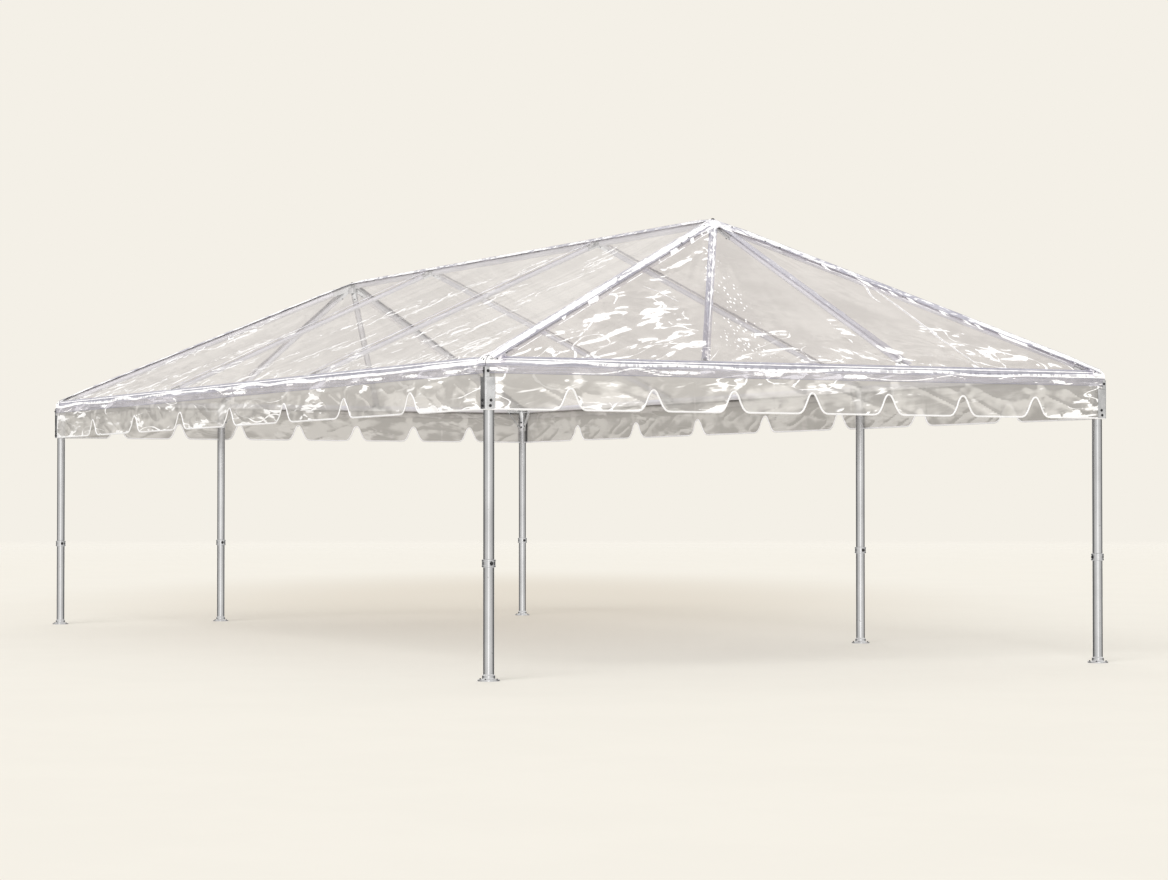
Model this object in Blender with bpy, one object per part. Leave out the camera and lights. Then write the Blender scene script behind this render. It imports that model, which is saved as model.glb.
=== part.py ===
"""Clear-top frame marquee, 20 ft by 40 ft, open on all four sides.

A hip roof of clear film is stretched over a frame of round aluminium tubes on six legs.
The ridge runs along X. The near end is at +X, the front long side at -Y, and the ground is Z = 0.
Every tube under the film has its axis on one surface: the roof's own planes, moved inwards.
"""

import math

import bmesh
import bpy
from mathutils import Matrix, Vector

LENGTH = 12.192
WIDTH = 6.096
EAVE_HEIGHT = 2.60
RIDGE_HEIGHT = 3.99
HIP_SETBACK = 1.745
FILM = 0.004
GAP = 0.0003

TUBE_RADIUS = 0.0302
SOCKET_RADIUS = 0.0345
RAFTER_RADIUS = 0.0254
RAFTER_SOCKET_RADIUS = 0.0295
TUBE_SIDES = 14

LEG_RADIUS = 0.04445
LEG_INSET = 0.056
LEG_SIDES = 16
HEAD_RADIUS = 0.050
HEAD_DROP = 0.26
HEAD_RISE = 0.012
COUPLER_TOP = 0.976
COUPLER_HEIGHT = 0.063
COUPLER_RADIUS = 0.0565
BASE_RADIUS = 0.090
BASE_THICKNESS = 0.013
COLLAR_RADIUS = 0.0535
COLLAR_TOP = 0.047
CHAMFER = 0.003

CORNER_SOCKET = 0.22
TEE_SOCKET = 0.12
CROWN_SOCKET = 0.24
RIDGE_SOCKET = 0.16
TEE_HALF_LENGTH = 0.09
CROWN_DRUM_RADIUS = 0.058
CROWN_DRUM_TOP = -0.014
CROWN_DRUM_BOTTOM = -0.080

PLATE_WING = 0.088
PLATE_THICKNESS = 0.004
PLATE_TOP = 2.525
PLATE_BOTTOM = 2.185
WEB_THICKNESS = 0.008
CORNER_SLOT = 0.013

BRACE_WIDTH = 0.030
BRACE_THICKNESS = 0.006
BRACE_REACH = 0.20

VALANCE_BOTTOM = 2.185
NOTCH_DEPTH = 0.175
LONG_NOTCH_HALF_WIDTH = 0.205
END_NOTCH_HALF_WIDTH = 0.135
NOTCH_POINTS = 10
NOTCH_POWER = 0.7
LONG_SCALLOPS = 8
END_SCALLOPS = 8

SIDE_PITCH = math.atan2(RIDGE_HEIGHT - EAVE_HEIGHT, WIDTH / 2)
END_PITCH = math.atan2(RIDGE_HEIGHT - EAVE_HEIGHT, HIP_SETBACK)
AXIS_DEPTH = FILM + GAP + SOCKET_RADIUS
RIDGE_AXIS = RIDGE_HEIGHT - AXIS_DEPTH / math.cos(SIDE_PITCH)
EAVE_AXIS = EAVE_HEIGHT + LEG_INSET * math.tan(SIDE_PITCH) - AXIS_DEPTH / math.cos(SIDE_PITCH)
RAIL_X = LENGTH / 2 - LEG_INSET
RAIL_Y = WIDTH / 2 - LEG_INSET
SIDE_STATION = LENGTH / 6
END_STATION = WIDTH / 6
SMOOTH_ANGLE = math.radians(40)
UP = Vector((0, 0, 1))

FINISHES = {
    "aluminium_tube": ((0.56, 0.57, 0.58), 0.32, 0.9),
    "cast_fitting": ((0.62, 0.63, 0.64), 0.38, 0.85),
    "clear_film": ((0.86, 0.86, 0.87), 0.12, 0.0),
}


def inset_at_end_plane(height):
    """How far in from the near or far eave the end plane's tube surface passes this height."""
    drop = height - EAVE_HEIGHT + AXIS_DEPTH / math.cos(END_PITCH)
    return drop / math.tan(END_PITCH)


CROWN_X = LENGTH / 2 - inset_at_end_plane(RIDGE_AXIS)
HIP_FOOT_X = LENGTH / 2 - inset_at_end_plane(EAVE_AXIS)


def clear_scene():
    for thing in list(bpy.data.objects):
        bpy.data.objects.remove(thing, do_unlink=True)


def make_material(name, finish):
    """One Principled material, tinted as the named finish."""
    colour, roughness, metallic = FINISHES[finish]
    material = bpy.data.materials.new(name)
    material.use_nodes = True
    shader = material.node_tree.nodes["Principled BSDF"]
    shader.inputs["Base Color"].default_value = (*colour, 1)
    shader.inputs["Roughness"].default_value = roughness
    shader.inputs["Metallic"].default_value = metallic
    material.diffuse_color = (*colour, 1)
    return material


def add_object(name, mesh_tool, finish, smooth=True):
    """Turns a bmesh into a named object with its own material."""
    mesh = bpy.data.meshes.new(name)
    bmesh.ops.recalc_face_normals(mesh_tool, faces=mesh_tool.faces)
    mesh_tool.to_mesh(mesh)
    mesh_tool.free()
    mesh.materials.append(make_material(name, finish))
    if smooth:
        mesh.shade_smooth()
        mesh.set_sharp_from_angle(angle=SMOOTH_ANGLE)
    made = bpy.data.objects.new(name, mesh)
    bpy.context.scene.collection.objects.link(made)
    return made


def turned(name, profile, finish, sides):
    """A solid of revolution about Z from (height, radius) pairs, closed at both ends on the axis."""
    tool = bmesh.new()
    first, last = profile[0][0], profile[-1][0]
    outline = [(first, 0.0), *profile, (last, 0.0)]
    points = [tool.verts.new((radius, 0, height)) for height, radius in outline]
    edges = [tool.edges.new(pair) for pair in zip(points, points[1:])]
    bmesh.ops.spin(
        tool,
        geom=points + edges,
        cent=(0, 0, 0),
        axis=UP,
        angle=math.tau,
        steps=sides,
        use_merge=True,
    )
    bmesh.ops.remove_doubles(tool, verts=tool.verts, dist=1e-6)
    return add_object(name, tool, finish)


def stand_along(made, start, direction):
    """Lays an object's Z axis along a direction, from a start point."""
    turn = direction.to_track_quat("Z", "Y").to_matrix().to_4x4()
    made.matrix_world = Matrix.Translation(start) @ turn


def tube(name, start, end, radius, finish, steps=(), sides=TUBE_SIDES):
    """A round bar between two points. Each step is (from, to, radius) of a thicker sleeve."""
    axis = end - start
    profile = [(0.0, radius)]
    for low, high, wide in steps:
        profile += [(low, radius), (low, wide), (high, wide), (high, radius)]
    profile.append((axis.length, radius))
    profile = [point for i, point in enumerate(profile) if i == 0 or point != profile[i - 1]]
    made = turned(name, profile, finish, sides)
    stand_along(made, start, axis)
    return made


def box(name, low, high, finish):
    """A plain block between two corners."""
    tool = bmesh.new()
    bmesh.ops.create_cube(tool, size=1.0)
    size = Vector(high) - Vector(low)
    middle = (Vector(high) + Vector(low)) / 2
    bmesh.ops.scale(tool, vec=size, verts=tool.verts)
    bmesh.ops.translate(tool, vec=middle, verts=tool.verts)
    return add_object(name, tool, finish, smooth=False)


def bar_between(name, start, end, across, finish):
    """A flat strip from start to end, its width lying along the vector across."""
    length = (end - start).length
    half_width, half_thick = BRACE_WIDTH / 2, BRACE_THICKNESS / 2
    strip = box(name, (-half_width, -half_thick, 0), (half_width, half_thick, length), finish)
    along = (end - start).normalized()
    normal = along.cross(across).normalized()
    turn = Matrix((across, normal, along)).transposed().to_4x4()
    strip.matrix_world = Matrix.Translation(start) @ turn
    return strip


def join(base, pieces):
    """Unites helper solids with a base, and leaves the helpers out of the model."""
    for piece in pieces:
        piece.hide_render = True
        piece.display_type = "WIRE"
        union = base.modifiers.new(f"with_{piece.name}", "BOOLEAN")
        union.operation = "UNION"
        union.solver = "EXACT"
        union.object = piece
    return base


def along(start, end, distance):
    """The point this far from start on the way to end."""
    return start + (end - start).normalized() * distance


def rail_node(sign_x, sign_y):
    return Vector((sign_x * RAIL_X, sign_y * RAIL_Y, EAVE_AXIS))


def hip_foot(sign_x, sign_y):
    return Vector((sign_x * HIP_FOOT_X, sign_y * RAIL_Y, EAVE_AXIS))


def crown_node(sign_x):
    return Vector((sign_x * CROWN_X, 0, RIDGE_AXIS))


def side_foot(sign_x, sign_y):
    return Vector((sign_x * SIDE_STATION, sign_y * RAIL_Y, EAVE_AXIS))


def side_head(sign_x):
    return Vector((sign_x * SIDE_STATION, 0, RIDGE_AXIS))


def end_foot(sign_x, sign_y):
    return Vector((sign_x * RAIL_X, sign_y * END_STATION, EAVE_AXIS))


CORNERS = {
    "near_front": (1, -1),
    "near_back": (1, 1),
    "far_front": (-1, -1),
    "far_back": (-1, 1),
}
ENDS = {"near": 1, "far": -1}
SIDES = {"front": -1, "back": 1}
LEG_PLACES = {
    **{name: rail_node(*signs) for name, signs in CORNERS.items()},
    "back": side_foot(1, 1),
    "far_end": end_foot(-1, -1),
}


def make_leg(name, place):
    """A lower tube with base disc, collar and coupler, and the upper tube that stands in it."""
    lower = [
        (0.0, BASE_RADIUS - CHAMFER),
        (CHAMFER, BASE_RADIUS),
        (BASE_THICKNESS - CHAMFER, BASE_RADIUS),
        (BASE_THICKNESS, BASE_RADIUS - CHAMFER),
        (BASE_THICKNESS, COLLAR_RADIUS),
        (COLLAR_TOP - CHAMFER, COLLAR_RADIUS),
        (COLLAR_TOP, COLLAR_RADIUS - CHAMFER),
        (COLLAR_TOP, LEG_RADIUS),
        (COUPLER_TOP - COUPLER_HEIGHT, LEG_RADIUS),
        (COUPLER_TOP - COUPLER_HEIGHT, COUPLER_RADIUS - CHAMFER),
        (COUPLER_TOP - COUPLER_HEIGHT + CHAMFER, COUPLER_RADIUS),
        (COUPLER_TOP - CHAMFER, COUPLER_RADIUS),
        (COUPLER_TOP, COUPLER_RADIUS - CHAMFER),
    ]
    base = turned(f"leg_{name}_lower", lower, "aluminium_tube", LEG_SIDES)
    base.location = (place.x, place.y, 0)
    top = EAVE_AXIS - HEAD_DROP - GAP
    upper = [(COUPLER_TOP + GAP, LEG_RADIUS), (top, LEG_RADIUS)]
    stem = turned(f"leg_{name}_upper", upper, "aluminium_tube", LEG_SIDES)
    stem.location = (place.x, place.y, 0)


def leg_head(name, place):
    """The round socket over a leg, up to the rails' axis."""
    profile = [(-HEAD_DROP, HEAD_RADIUS), (HEAD_RISE, HEAD_RADIUS)]
    head = turned(name, profile, "cast_fitting", LEG_SIDES)
    head.location = place
    return head


def knee_brace(name, place, direction):
    """One strip from the foot of a leg's head up to the rail that runs in this direction."""
    low = place + direction * (HEAD_RADIUS / 2) - UP * (HEAD_DROP - 0.02)
    high = place + direction * BRACE_REACH - UP * (SOCKET_RADIUS / 2)
    across = direction.cross(UP).normalized()
    return bar_between(name, low, high, across, "cast_fitting")


def corner_plate(name, sign_x, sign_y):
    """The two wings of the angle plate outside the canopy's corner, and the web that carries it."""
    corner = Vector((sign_x * LENGTH / 2, sign_y * WIDTH / 2, 0))
    outer = corner + Vector((sign_x, sign_y, 0)) * (GAP + PLATE_THICKNESS)
    inner = corner + Vector((sign_x, sign_y, 0)) * GAP

    def wing(label, start, end):
        low = [min(pair) for pair in zip(start, end)]
        high = [max(pair) for pair in zip(start, end)]
        return box(f"{name}_{label}", (*low, PLATE_BOTTOM), (*high, PLATE_TOP), "cast_fitting")

    end_wing = wing("end_wing", outer[:2], (inner.x, corner.y - sign_y * PLATE_WING))
    side_wing = wing("side_wing", outer[:2], (corner.x - sign_x * PLATE_WING, inner.y))
    place = rail_node(sign_x, sign_y)
    away = Vector((corner.x - place.x, corner.y - place.y, 0))
    web = box(
        f"{name}_web",
        (0, -WEB_THICKNESS / 2, EAVE_AXIS - HEAD_DROP + WEB_THICKNESS),
        (away.length + PLATE_THICKNESS / 2, WEB_THICKNESS / 2, PLATE_TOP - WEB_THICKNESS),
        "cast_fitting",
    )
    web.location = (place.x, place.y, 0)
    web.rotation_euler.z = math.atan2(away.y, away.x)
    return [end_wing, side_wing, web]


def make_corner_fitting(name, sign_x, sign_y):
    """Head over the corner leg, sockets for two rails and the hip, and the angle plate."""
    label = f"corner_fitting_{name}"
    place = rail_node(sign_x, sign_y)
    inward_x, inward_y = Vector((-sign_x, 0, 0)), Vector((0, -sign_y, 0))
    foot, crown = hip_foot(sign_x, sign_y), crown_node(sign_x)
    pieces = [
        tube(f"{label}_side_socket", place, place + inward_x * CORNER_SOCKET,
             SOCKET_RADIUS, "cast_fitting"),
        tube(f"{label}_end_socket", place, place + inward_y * CORNER_SOCKET,
             SOCKET_RADIUS, "cast_fitting"),
        tube(f"{label}_hip_socket", foot, along(foot, crown, CORNER_SOCKET),
             SOCKET_RADIUS, "cast_fitting"),
        *corner_plate(label, sign_x, sign_y),
    ]
    if name == "far_back":
        pieces += [
            knee_brace(f"{label}_side_brace", place, inward_x),
            knee_brace(f"{label}_end_brace", place, inward_y),
        ]
    join(leg_head(label, place), pieces)


def make_rail(name, start, end, stations):
    """One eave rail between corner sockets. Stations are (foot, rafter head, has_leg)."""
    from_point = along(start, end, CORNER_SOCKET + GAP)
    to_point = along(end, start, CORNER_SOCKET + GAP)
    steps = []
    for foot, _, _ in stations:
        middle = (foot - from_point).length
        steps.append((middle - TEE_HALF_LENGTH, middle + TEE_HALF_LENGTH, SOCKET_RADIUS))
    rail = tube(name, from_point, to_point, TUBE_RADIUS, "aluminium_tube", steps)
    pieces = []
    for number, (foot, head, has_leg) in enumerate(stations, 1):
        label = f"{name}_tee_{number}"
        pieces.append(tube(f"{label}_rafter_socket", foot, along(foot, head, TEE_SOCKET),
                           RAFTER_SOCKET_RADIUS, "cast_fitting"))
        if has_leg:
            direction = (end - start).normalized()
            pieces += [
                leg_head(f"{label}_leg_head", foot),
                knee_brace(f"{label}_brace_a", foot, direction),
                knee_brace(f"{label}_brace_b", foot, -direction),
            ]
    join(rail, pieces)


def make_rails():
    for side, sign_y in SIDES.items():
        stations = [
            (side_foot(sign_x, sign_y), side_head(sign_x), (sign_x, sign_y) == (1, 1))
            for sign_x in (-1, 1)
        ]
        make_rail(f"eave_rail_{side}", rail_node(-1, sign_y), rail_node(1, sign_y), stations)
    for end, sign_x in ENDS.items():
        stations = [
            (end_foot(sign_x, sign_y), crown_node(sign_x), (sign_x, sign_y) == (-1, -1))
            for sign_y in (-1, 1)
        ]
        make_rail(f"eave_rail_{end}_end", rail_node(sign_x, -1), rail_node(sign_x, 1), stations)


def make_rafter(name, foot, head, foot_socket, head_socket, radius):
    """A plain tube between its two sockets."""
    start = along(foot, head, foot_socket + GAP)
    end = along(head, foot, head_socket + GAP)
    tube(name, start, end, radius, "aluminium_tube")


def make_rafters():
    for name, (sign_x, sign_y) in CORNERS.items():
        make_rafter(f"hip_rafter_{name}", hip_foot(sign_x, sign_y), crown_node(sign_x),
                    CORNER_SOCKET, CROWN_SOCKET, TUBE_RADIUS)
        make_rafter(f"end_rafter_{name}", end_foot(sign_x, sign_y), crown_node(sign_x),
                    TEE_SOCKET, CROWN_SOCKET, RAFTER_RADIUS)
        make_rafter(f"side_rafter_{name}", side_foot(sign_x, sign_y), side_head(sign_x),
                    TEE_SOCKET, TEE_SOCKET, RAFTER_RADIUS)


def make_crown(name, sign_x):
    """The cast hub where the ridge, two hips and two end rafters meet."""
    label = f"crown_{name}"
    place = crown_node(sign_x)
    sockets = [
        tube(f"{label}_ridge_socket", place, place - Vector((sign_x * RIDGE_SOCKET, 0, 0)),
             SOCKET_RADIUS, "cast_fitting")
    ]
    for side, sign_y in SIDES.items():
        hip_end = along(place, hip_foot(sign_x, sign_y), CROWN_SOCKET)
        rafter_end = along(place, end_foot(sign_x, sign_y), CROWN_SOCKET)
        sockets += [
            tube(f"{label}_{side}_hip_socket", place, hip_end, SOCKET_RADIUS, "cast_fitting"),
            tube(f"{label}_{side}_rafter_socket", place, rafter_end,
                 RAFTER_SOCKET_RADIUS, "cast_fitting"),
        ]
    drum = [(CROWN_DRUM_BOTTOM, CROWN_DRUM_RADIUS), (CROWN_DRUM_TOP, CROWN_DRUM_RADIUS)]
    hub = turned(label, drum, "cast_fitting", TUBE_SIDES)
    hub.location = place
    join(hub, sockets)


def make_ridge():
    """Three ridge tubes; the middle one carries the tees of the side rafters."""
    for name, sign_x in ENDS.items():
        start = along(crown_node(sign_x), side_head(sign_x), RIDGE_SOCKET + GAP)
        end = along(side_head(sign_x), crown_node(sign_x), TEE_HALF_LENGTH + GAP)
        tube(f"ridge_tube_{name}", start, end, TUBE_RADIUS, "aluminium_tube")
    start = side_head(-1) - Vector((TEE_HALF_LENGTH, 0, 0))
    end = side_head(1) + Vector((TEE_HALF_LENGTH, 0, 0))
    span = (end - start).length
    steps = [
        (0.0, 2 * TEE_HALF_LENGTH, SOCKET_RADIUS),
        (span - 2 * TEE_HALF_LENGTH, span, SOCKET_RADIUS),
    ]
    middle = tube("ridge_tube_middle", start, end, TUBE_RADIUS, "aluminium_tube", steps)
    sockets = [
        tube(f"ridge_tee_{end_name}_{side}", side_head(sign_x),
             along(side_head(sign_x), side_foot(sign_x, sign_y), TEE_SOCKET),
             RAFTER_SOCKET_RADIUS, "cast_fitting")
        for end_name, sign_x in ENDS.items()
        for side, sign_y in SIDES.items()
    ]
    join(middle, sockets)


def meeting_point(planes):
    """The point that three planes share, each as (normal, offset) with normal . point = offset."""
    rows = Matrix([normal for normal, _ in planes])
    return rows.inverted() @ Vector([offset for _, offset in planes])


def roof_planes(sign_x, sign_y):
    """The outer surfaces of the side slope and the end slope of this corner."""
    side = Vector((0, sign_y * math.sin(SIDE_PITCH), math.cos(SIDE_PITCH)))
    end = Vector((sign_x * math.sin(END_PITCH), 0, math.cos(END_PITCH)))
    side_offset = side.dot(Vector((0, sign_y * WIDTH / 2, EAVE_HEIGHT)))
    end_offset = end.dot(Vector((sign_x * LENGTH / 2, 0, EAVE_HEIGHT)))
    return (side, side_offset), (end, end_offset)


def hip_plane(sign_x, sign_y, shift):
    """The upright plane over a hip, moved towards the end slope by shift."""
    normal = Vector((sign_x * WIDTH / 2, -sign_y * HIP_SETBACK, 0)).normalized()
    corner = Vector((sign_x * LENGTH / 2, sign_y * WIDTH / 2, 0))
    return normal, normal.dot(corner) + shift


def lowered(plane):
    """The same roof surface at the film's under side."""
    normal, offset = plane
    return normal, offset - FILM


def prism(name, top, bottom):
    """A closed sheet between an upper and a lower outline of as many corners."""
    tool = bmesh.new()
    upper = [tool.verts.new(point) for point in top]
    lower = [tool.verts.new(point) for point in bottom]
    tool.faces.new(upper)
    tool.faces.new(reversed(lower))
    count = len(upper)
    for i in range(count):
        j = (i + 1) % count
        tool.faces.new((upper[i], lower[i], lower[j], upper[j]))
    return add_object(name, tool, "clear_film", smooth=False)


def make_side_panel(name, sign_y):
    """The long slope's film: eave, two hips and ridge."""
    eave = (Vector((0, sign_y, 0)), WIDTH / 2)
    ridge = (Vector((0, sign_y, 0)), GAP / 2)

    def outline(surface):
        return [
            meeting_point((surface, edge, hip_plane(sign_x, sign_y, -GAP / 2)))
            for sign_x, edge in ((-1, eave), (1, eave), (1, ridge), (-1, ridge))
        ]

    surface = roof_planes(1, sign_y)[0]
    prism(f"roof_panel_{name}", outline(surface), outline(lowered(surface)))


def make_end_panel(name, sign_x):
    """The triangular slope's film, blunt by a hair's breadth at the crown."""
    eave = (Vector((sign_x, 0, 0)), LENGTH / 2)
    tip = (Vector((sign_x, 0, 0)), LENGTH / 2 - HIP_SETBACK + FILM)

    def outline(surface):
        return [
            meeting_point((surface, edge, hip_plane(sign_x, sign_y, GAP / 2)))
            for sign_y, edge in ((-1, eave), (1, eave), (1, tip), (-1, tip))
        ]

    surface = roof_planes(sign_x, 1)[1]
    prism(f"roof_panel_{name}_end", outline(surface), outline(lowered(surface)))


def notch_outline(middle, half_width):
    """A bell-shaped notch in the hem, from its right foot over the top to its left foot."""
    points = []
    for step in range(NOTCH_POINTS + 1):
        share = 1 - 2 * step / NOTCH_POINTS
        bell = (1 + math.cos(math.pi * abs(share) ** NOTCH_POWER)) / 2
        points.append((middle + share * half_width, VALANCE_BOTTOM + NOTCH_DEPTH * bell))
    return points


def make_valance(name, start, direction, run, top, scallops, notch_half_width):
    """A scalloped skirt of film hung from the eave, with its outer face through start."""
    low, high = CORNER_SLOT, run - CORNER_SLOT
    outline = [(low, top), (high, top), (high, VALANCE_BOTTOM)]
    pitch = run / scallops
    for number in range(scallops - 1, 0, -1):
        outline += notch_outline(number * pitch, notch_half_width)
    outline.append((low, VALANCE_BOTTOM))
    tool = bmesh.new()
    points = [tool.verts.new(start + direction * x + UP * z) for x, z in outline]
    face = tool.faces.new(points)
    raised = bmesh.ops.extrude_face_region(tool, geom=[face])
    moved = [item for item in raised["geom"] if isinstance(item, bmesh.types.BMVert)]
    inward = UP.cross(direction)
    bmesh.ops.translate(tool, vec=inward * FILM, verts=moved)
    add_object(f"valance_{name}", tool, "clear_film", smooth=False)


def make_canopy():
    for name, sign_y in SIDES.items():
        make_side_panel(name, sign_y)
    for name, sign_x in ENDS.items():
        make_end_panel(name, sign_x)
    side_top = EAVE_HEIGHT - FILM / math.cos(SIDE_PITCH) - GAP
    end_top = EAVE_HEIGHT - FILM / math.cos(END_PITCH) - GAP
    half_x, half_y = LENGTH / 2, WIDTH / 2
    along_x, along_y = Vector((1, 0, 0)), Vector((0, 1, 0))
    side = (LENGTH, side_top, LONG_SCALLOPS, LONG_NOTCH_HALF_WIDTH)
    end = (WIDTH, end_top, END_SCALLOPS, END_NOTCH_HALF_WIDTH)
    make_valance("front", Vector((-half_x, -half_y, 0)), along_x, *side)
    make_valance("back", Vector((half_x, half_y, 0)), -along_x, *side)
    make_valance("near_end", Vector((half_x, -half_y, 0)), along_y, *end)
    make_valance("far_end", Vector((-half_x, half_y, 0)), -along_y, *end)


def main():
    clear_scene()
    for name, place in LEG_PLACES.items():
        make_leg(name, place)
    for name, signs in CORNERS.items():
        make_corner_fitting(name, *signs)
    make_rails()
    make_rafters()
    make_ridge()
    for name, sign_x in ENDS.items():
        make_crown(name, sign_x)
    make_canopy()


main()
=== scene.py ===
"""The looks of the clear-top frame marquee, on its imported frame.

A hip roof of clear film is stretched over round tubes on six legs. The ridge runs along X, the
near end is at +X, the front long side at -Y, and the ground is Z = 0. All sizes are metres.
"""

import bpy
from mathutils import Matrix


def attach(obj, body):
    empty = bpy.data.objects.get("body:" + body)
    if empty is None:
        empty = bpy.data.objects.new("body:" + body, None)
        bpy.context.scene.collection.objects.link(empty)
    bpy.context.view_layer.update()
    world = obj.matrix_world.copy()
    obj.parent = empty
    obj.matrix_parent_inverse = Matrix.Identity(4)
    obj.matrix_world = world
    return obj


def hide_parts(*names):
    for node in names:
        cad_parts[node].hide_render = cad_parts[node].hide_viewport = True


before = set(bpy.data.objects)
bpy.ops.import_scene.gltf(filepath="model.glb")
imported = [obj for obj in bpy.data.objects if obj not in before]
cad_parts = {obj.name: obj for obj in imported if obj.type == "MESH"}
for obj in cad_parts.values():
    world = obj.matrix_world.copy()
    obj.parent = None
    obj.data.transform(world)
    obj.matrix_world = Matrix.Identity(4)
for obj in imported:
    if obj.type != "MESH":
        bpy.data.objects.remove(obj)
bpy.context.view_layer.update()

import logging
import math
from dataclasses import dataclass, field
from enum import Enum

import bmesh
import bpy
import numpy as np
from mathutils import Vector

log = logging.getLogger("marquee")
Array = np.ndarray
Colour = tuple[float, float, float]
Material = bpy.types.Material
Socket = bpy.types.NodeSocket
BODY = "root"
FINISH_UV = "finish_uv"
CRINKLE_UV = "crinkle_uv"
# Fields that the finishes read: where painted glints gather, the lean that sets painted fold shade,
# patches of painted glint dots, and painted shade on the end slopes.
CREASE = "crease"
TILT = "tilt"
SPECKLE = "speckle"
PAINTED_END_SHADE = "heavy"
FIELDS = (CREASE, TILT, SPECKLE, PAINTED_END_SHADE)
ALONG_X = np.array([1.0, 0.0, 0.0])
ALONG_Y = np.array([0.0, 1.0, 0.0])
UP = np.array([0.0, 0.0, 1.0])


class Slot(Enum):
    """The record's material slots."""

    TUBE = "frame_tube"
    CAST = "cast_fitting"
    FILM = "clear_film"


class Panel(Enum):
    """The four slopes of the roof, in order round the eave from the far front corner."""

    FRONT = "front"
    NEAR_END = "near_end"
    BACK = "back"
    FAR_END = "far_end"

    @property
    def ends(self) -> bool:
        """Whether it is one of the two ends."""
        return self in (Panel.NEAR_END, Panel.FAR_END)

    @property
    def order(self) -> int:
        """Its place in the order, which sets its random fields and maps apart."""
        return list(Panel).index(self)

    @property
    def flip(self) -> float:
        """-1 where its crinkles mirror those of the slope across from it, else 1."""
        return -1.0 if self in (Panel.BACK, Panel.FAR_END) else 1.0

    @property
    def slope(self) -> float:
        """Its length from ridge to eave, in round figures."""
        return 2.23 if self.ends else 3.35


@dataclass(frozen=True)
class Plan:
    """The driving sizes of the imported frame, and the points where its axes meet."""

    length: float = 12.192
    width: float = 6.096
    eave: float = 2.60
    ridge: float = 3.99
    hip_setback: float = 1.745
    axis_depth: float = 0.0388
    leg_inset: float = 0.056
    tube_radius: float = 0.0302
    socket_radius: float = 0.0345
    rafter_radius: float = 0.0254
    rafter_socket: float = 0.0295
    corner_reach: float = 0.22
    crown_reach: float = 0.24
    ridge_reach: float = 0.16
    tee_reach: float = 0.12
    tee_half: float = 0.09
    head_drop: float = 0.26
    gap: float = 0.0003
    hem: float = 2.185
    notch_depth: float = 0.175
    side_notch: float = 0.112
    end_notch: float = 0.073
    notch_power: float = 2.3
    lip_radius: float = 0.04

    @property
    def rise(self) -> float:
        """Height of the ridge over the eave."""
        return self.ridge - self.eave

    @property
    def side_pitch(self) -> float:
        """Slope of the long sides, in radians."""
        return math.atan2(self.rise, self.width / 2)

    @property
    def end_pitch(self) -> float:
        """Slope of the two ends, in radians."""
        return math.atan2(self.rise, self.hip_setback)

    @property
    def ridge_axis(self) -> float:
        """Height of the ridge tube's axis."""
        return self.ridge - self.axis_depth / math.cos(self.side_pitch)

    @property
    def eave_axis(self) -> float:
        """Height of the eave rails' axis."""
        drop = self.axis_depth / math.cos(self.side_pitch)
        return self.eave + self.leg_inset * math.tan(self.side_pitch) - drop

    @property
    def rail_x(self) -> float:
        """X of the end rails' axis."""
        return self.length / 2 - self.leg_inset

    @property
    def rail_y(self) -> float:
        """Y of the side rails' axis."""
        return self.width / 2 - self.leg_inset

    def end_inset(self, height: float) -> float:
        """How far in from an end's eave its tubes' axes pass a height."""
        drop = height - self.eave + self.axis_depth / math.cos(self.end_pitch)
        return drop / math.tan(self.end_pitch)

    def rail_node(self, sx: int, sy: int) -> Array:
        """Where two eave rails meet over a corner leg."""
        return np.array([sx * self.rail_x, sy * self.rail_y, self.eave_axis])

    def hip_foot(self, sx: int, sy: int) -> Array:
        """Where a hip's axis meets the side rail's axis."""
        x = self.length / 2 - self.end_inset(self.eave_axis)
        return np.array([sx * x, sy * self.rail_y, self.eave_axis])

    def crown(self, sx: int) -> Array:
        """Where ridge, hips and end rafters meet."""
        x = self.length / 2 - self.end_inset(self.ridge_axis)
        return np.array([sx * x, 0.0, self.ridge_axis])

    def side_foot(self, sx: int, sy: int) -> Array:
        """Foot of a side rafter on the eave rail's axis."""
        return np.array([sx * self.length / 6, sy * self.rail_y, self.eave_axis])

    def side_head(self, sx: int) -> Array:
        """Head of a pair of side rafters on the ridge's axis."""
        return np.array([sx * self.length / 6, 0.0, self.ridge_axis])

    def end_foot(self, sx: int, sy: int) -> Array:
        """Foot of an end rafter on the end rail's axis."""
        return np.array([sx * self.rail_x, sy * self.width / 6, self.eave_axis])

    def corner(self, sx: int, sy: int) -> Array:
        """A corner of the film's sharp eave."""
        return np.array([sx * self.length / 2, sy * self.width / 2, self.eave])

    def peak(self, sx: int) -> Array:
        """An end of the film's sharp ridge."""
        return np.array([sx * (self.length / 2 - self.hip_setback), 0.0, self.ridge])

    def side_normal(self, sy: int) -> Array:
        """The unit normal of a long slope."""
        return np.array([0, sy * math.sin(self.side_pitch), math.cos(self.side_pitch)])

    def end_normal(self, sx: int) -> Array:
        """The unit normal of an end slope."""
        return np.array([sx * math.sin(self.end_pitch), 0, math.cos(self.end_pitch)])


PLAN = Plan()
ENDS = {"near": 1, "far": -1}
CORNERS = {"near_front": (1, -1), "near_back": (1, 1), "far_front": (-1, -1), "far_back": (-1, 1)}
MEETINGS = {
    "near_front": (Panel.FRONT, Panel.NEAR_END),
    "near_back": (Panel.NEAR_END, Panel.BACK),
    "far_back": (Panel.BACK, Panel.FAR_END),
    "far_front": (Panel.FAR_END, Panel.FRONT),
}


# Number work


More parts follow.
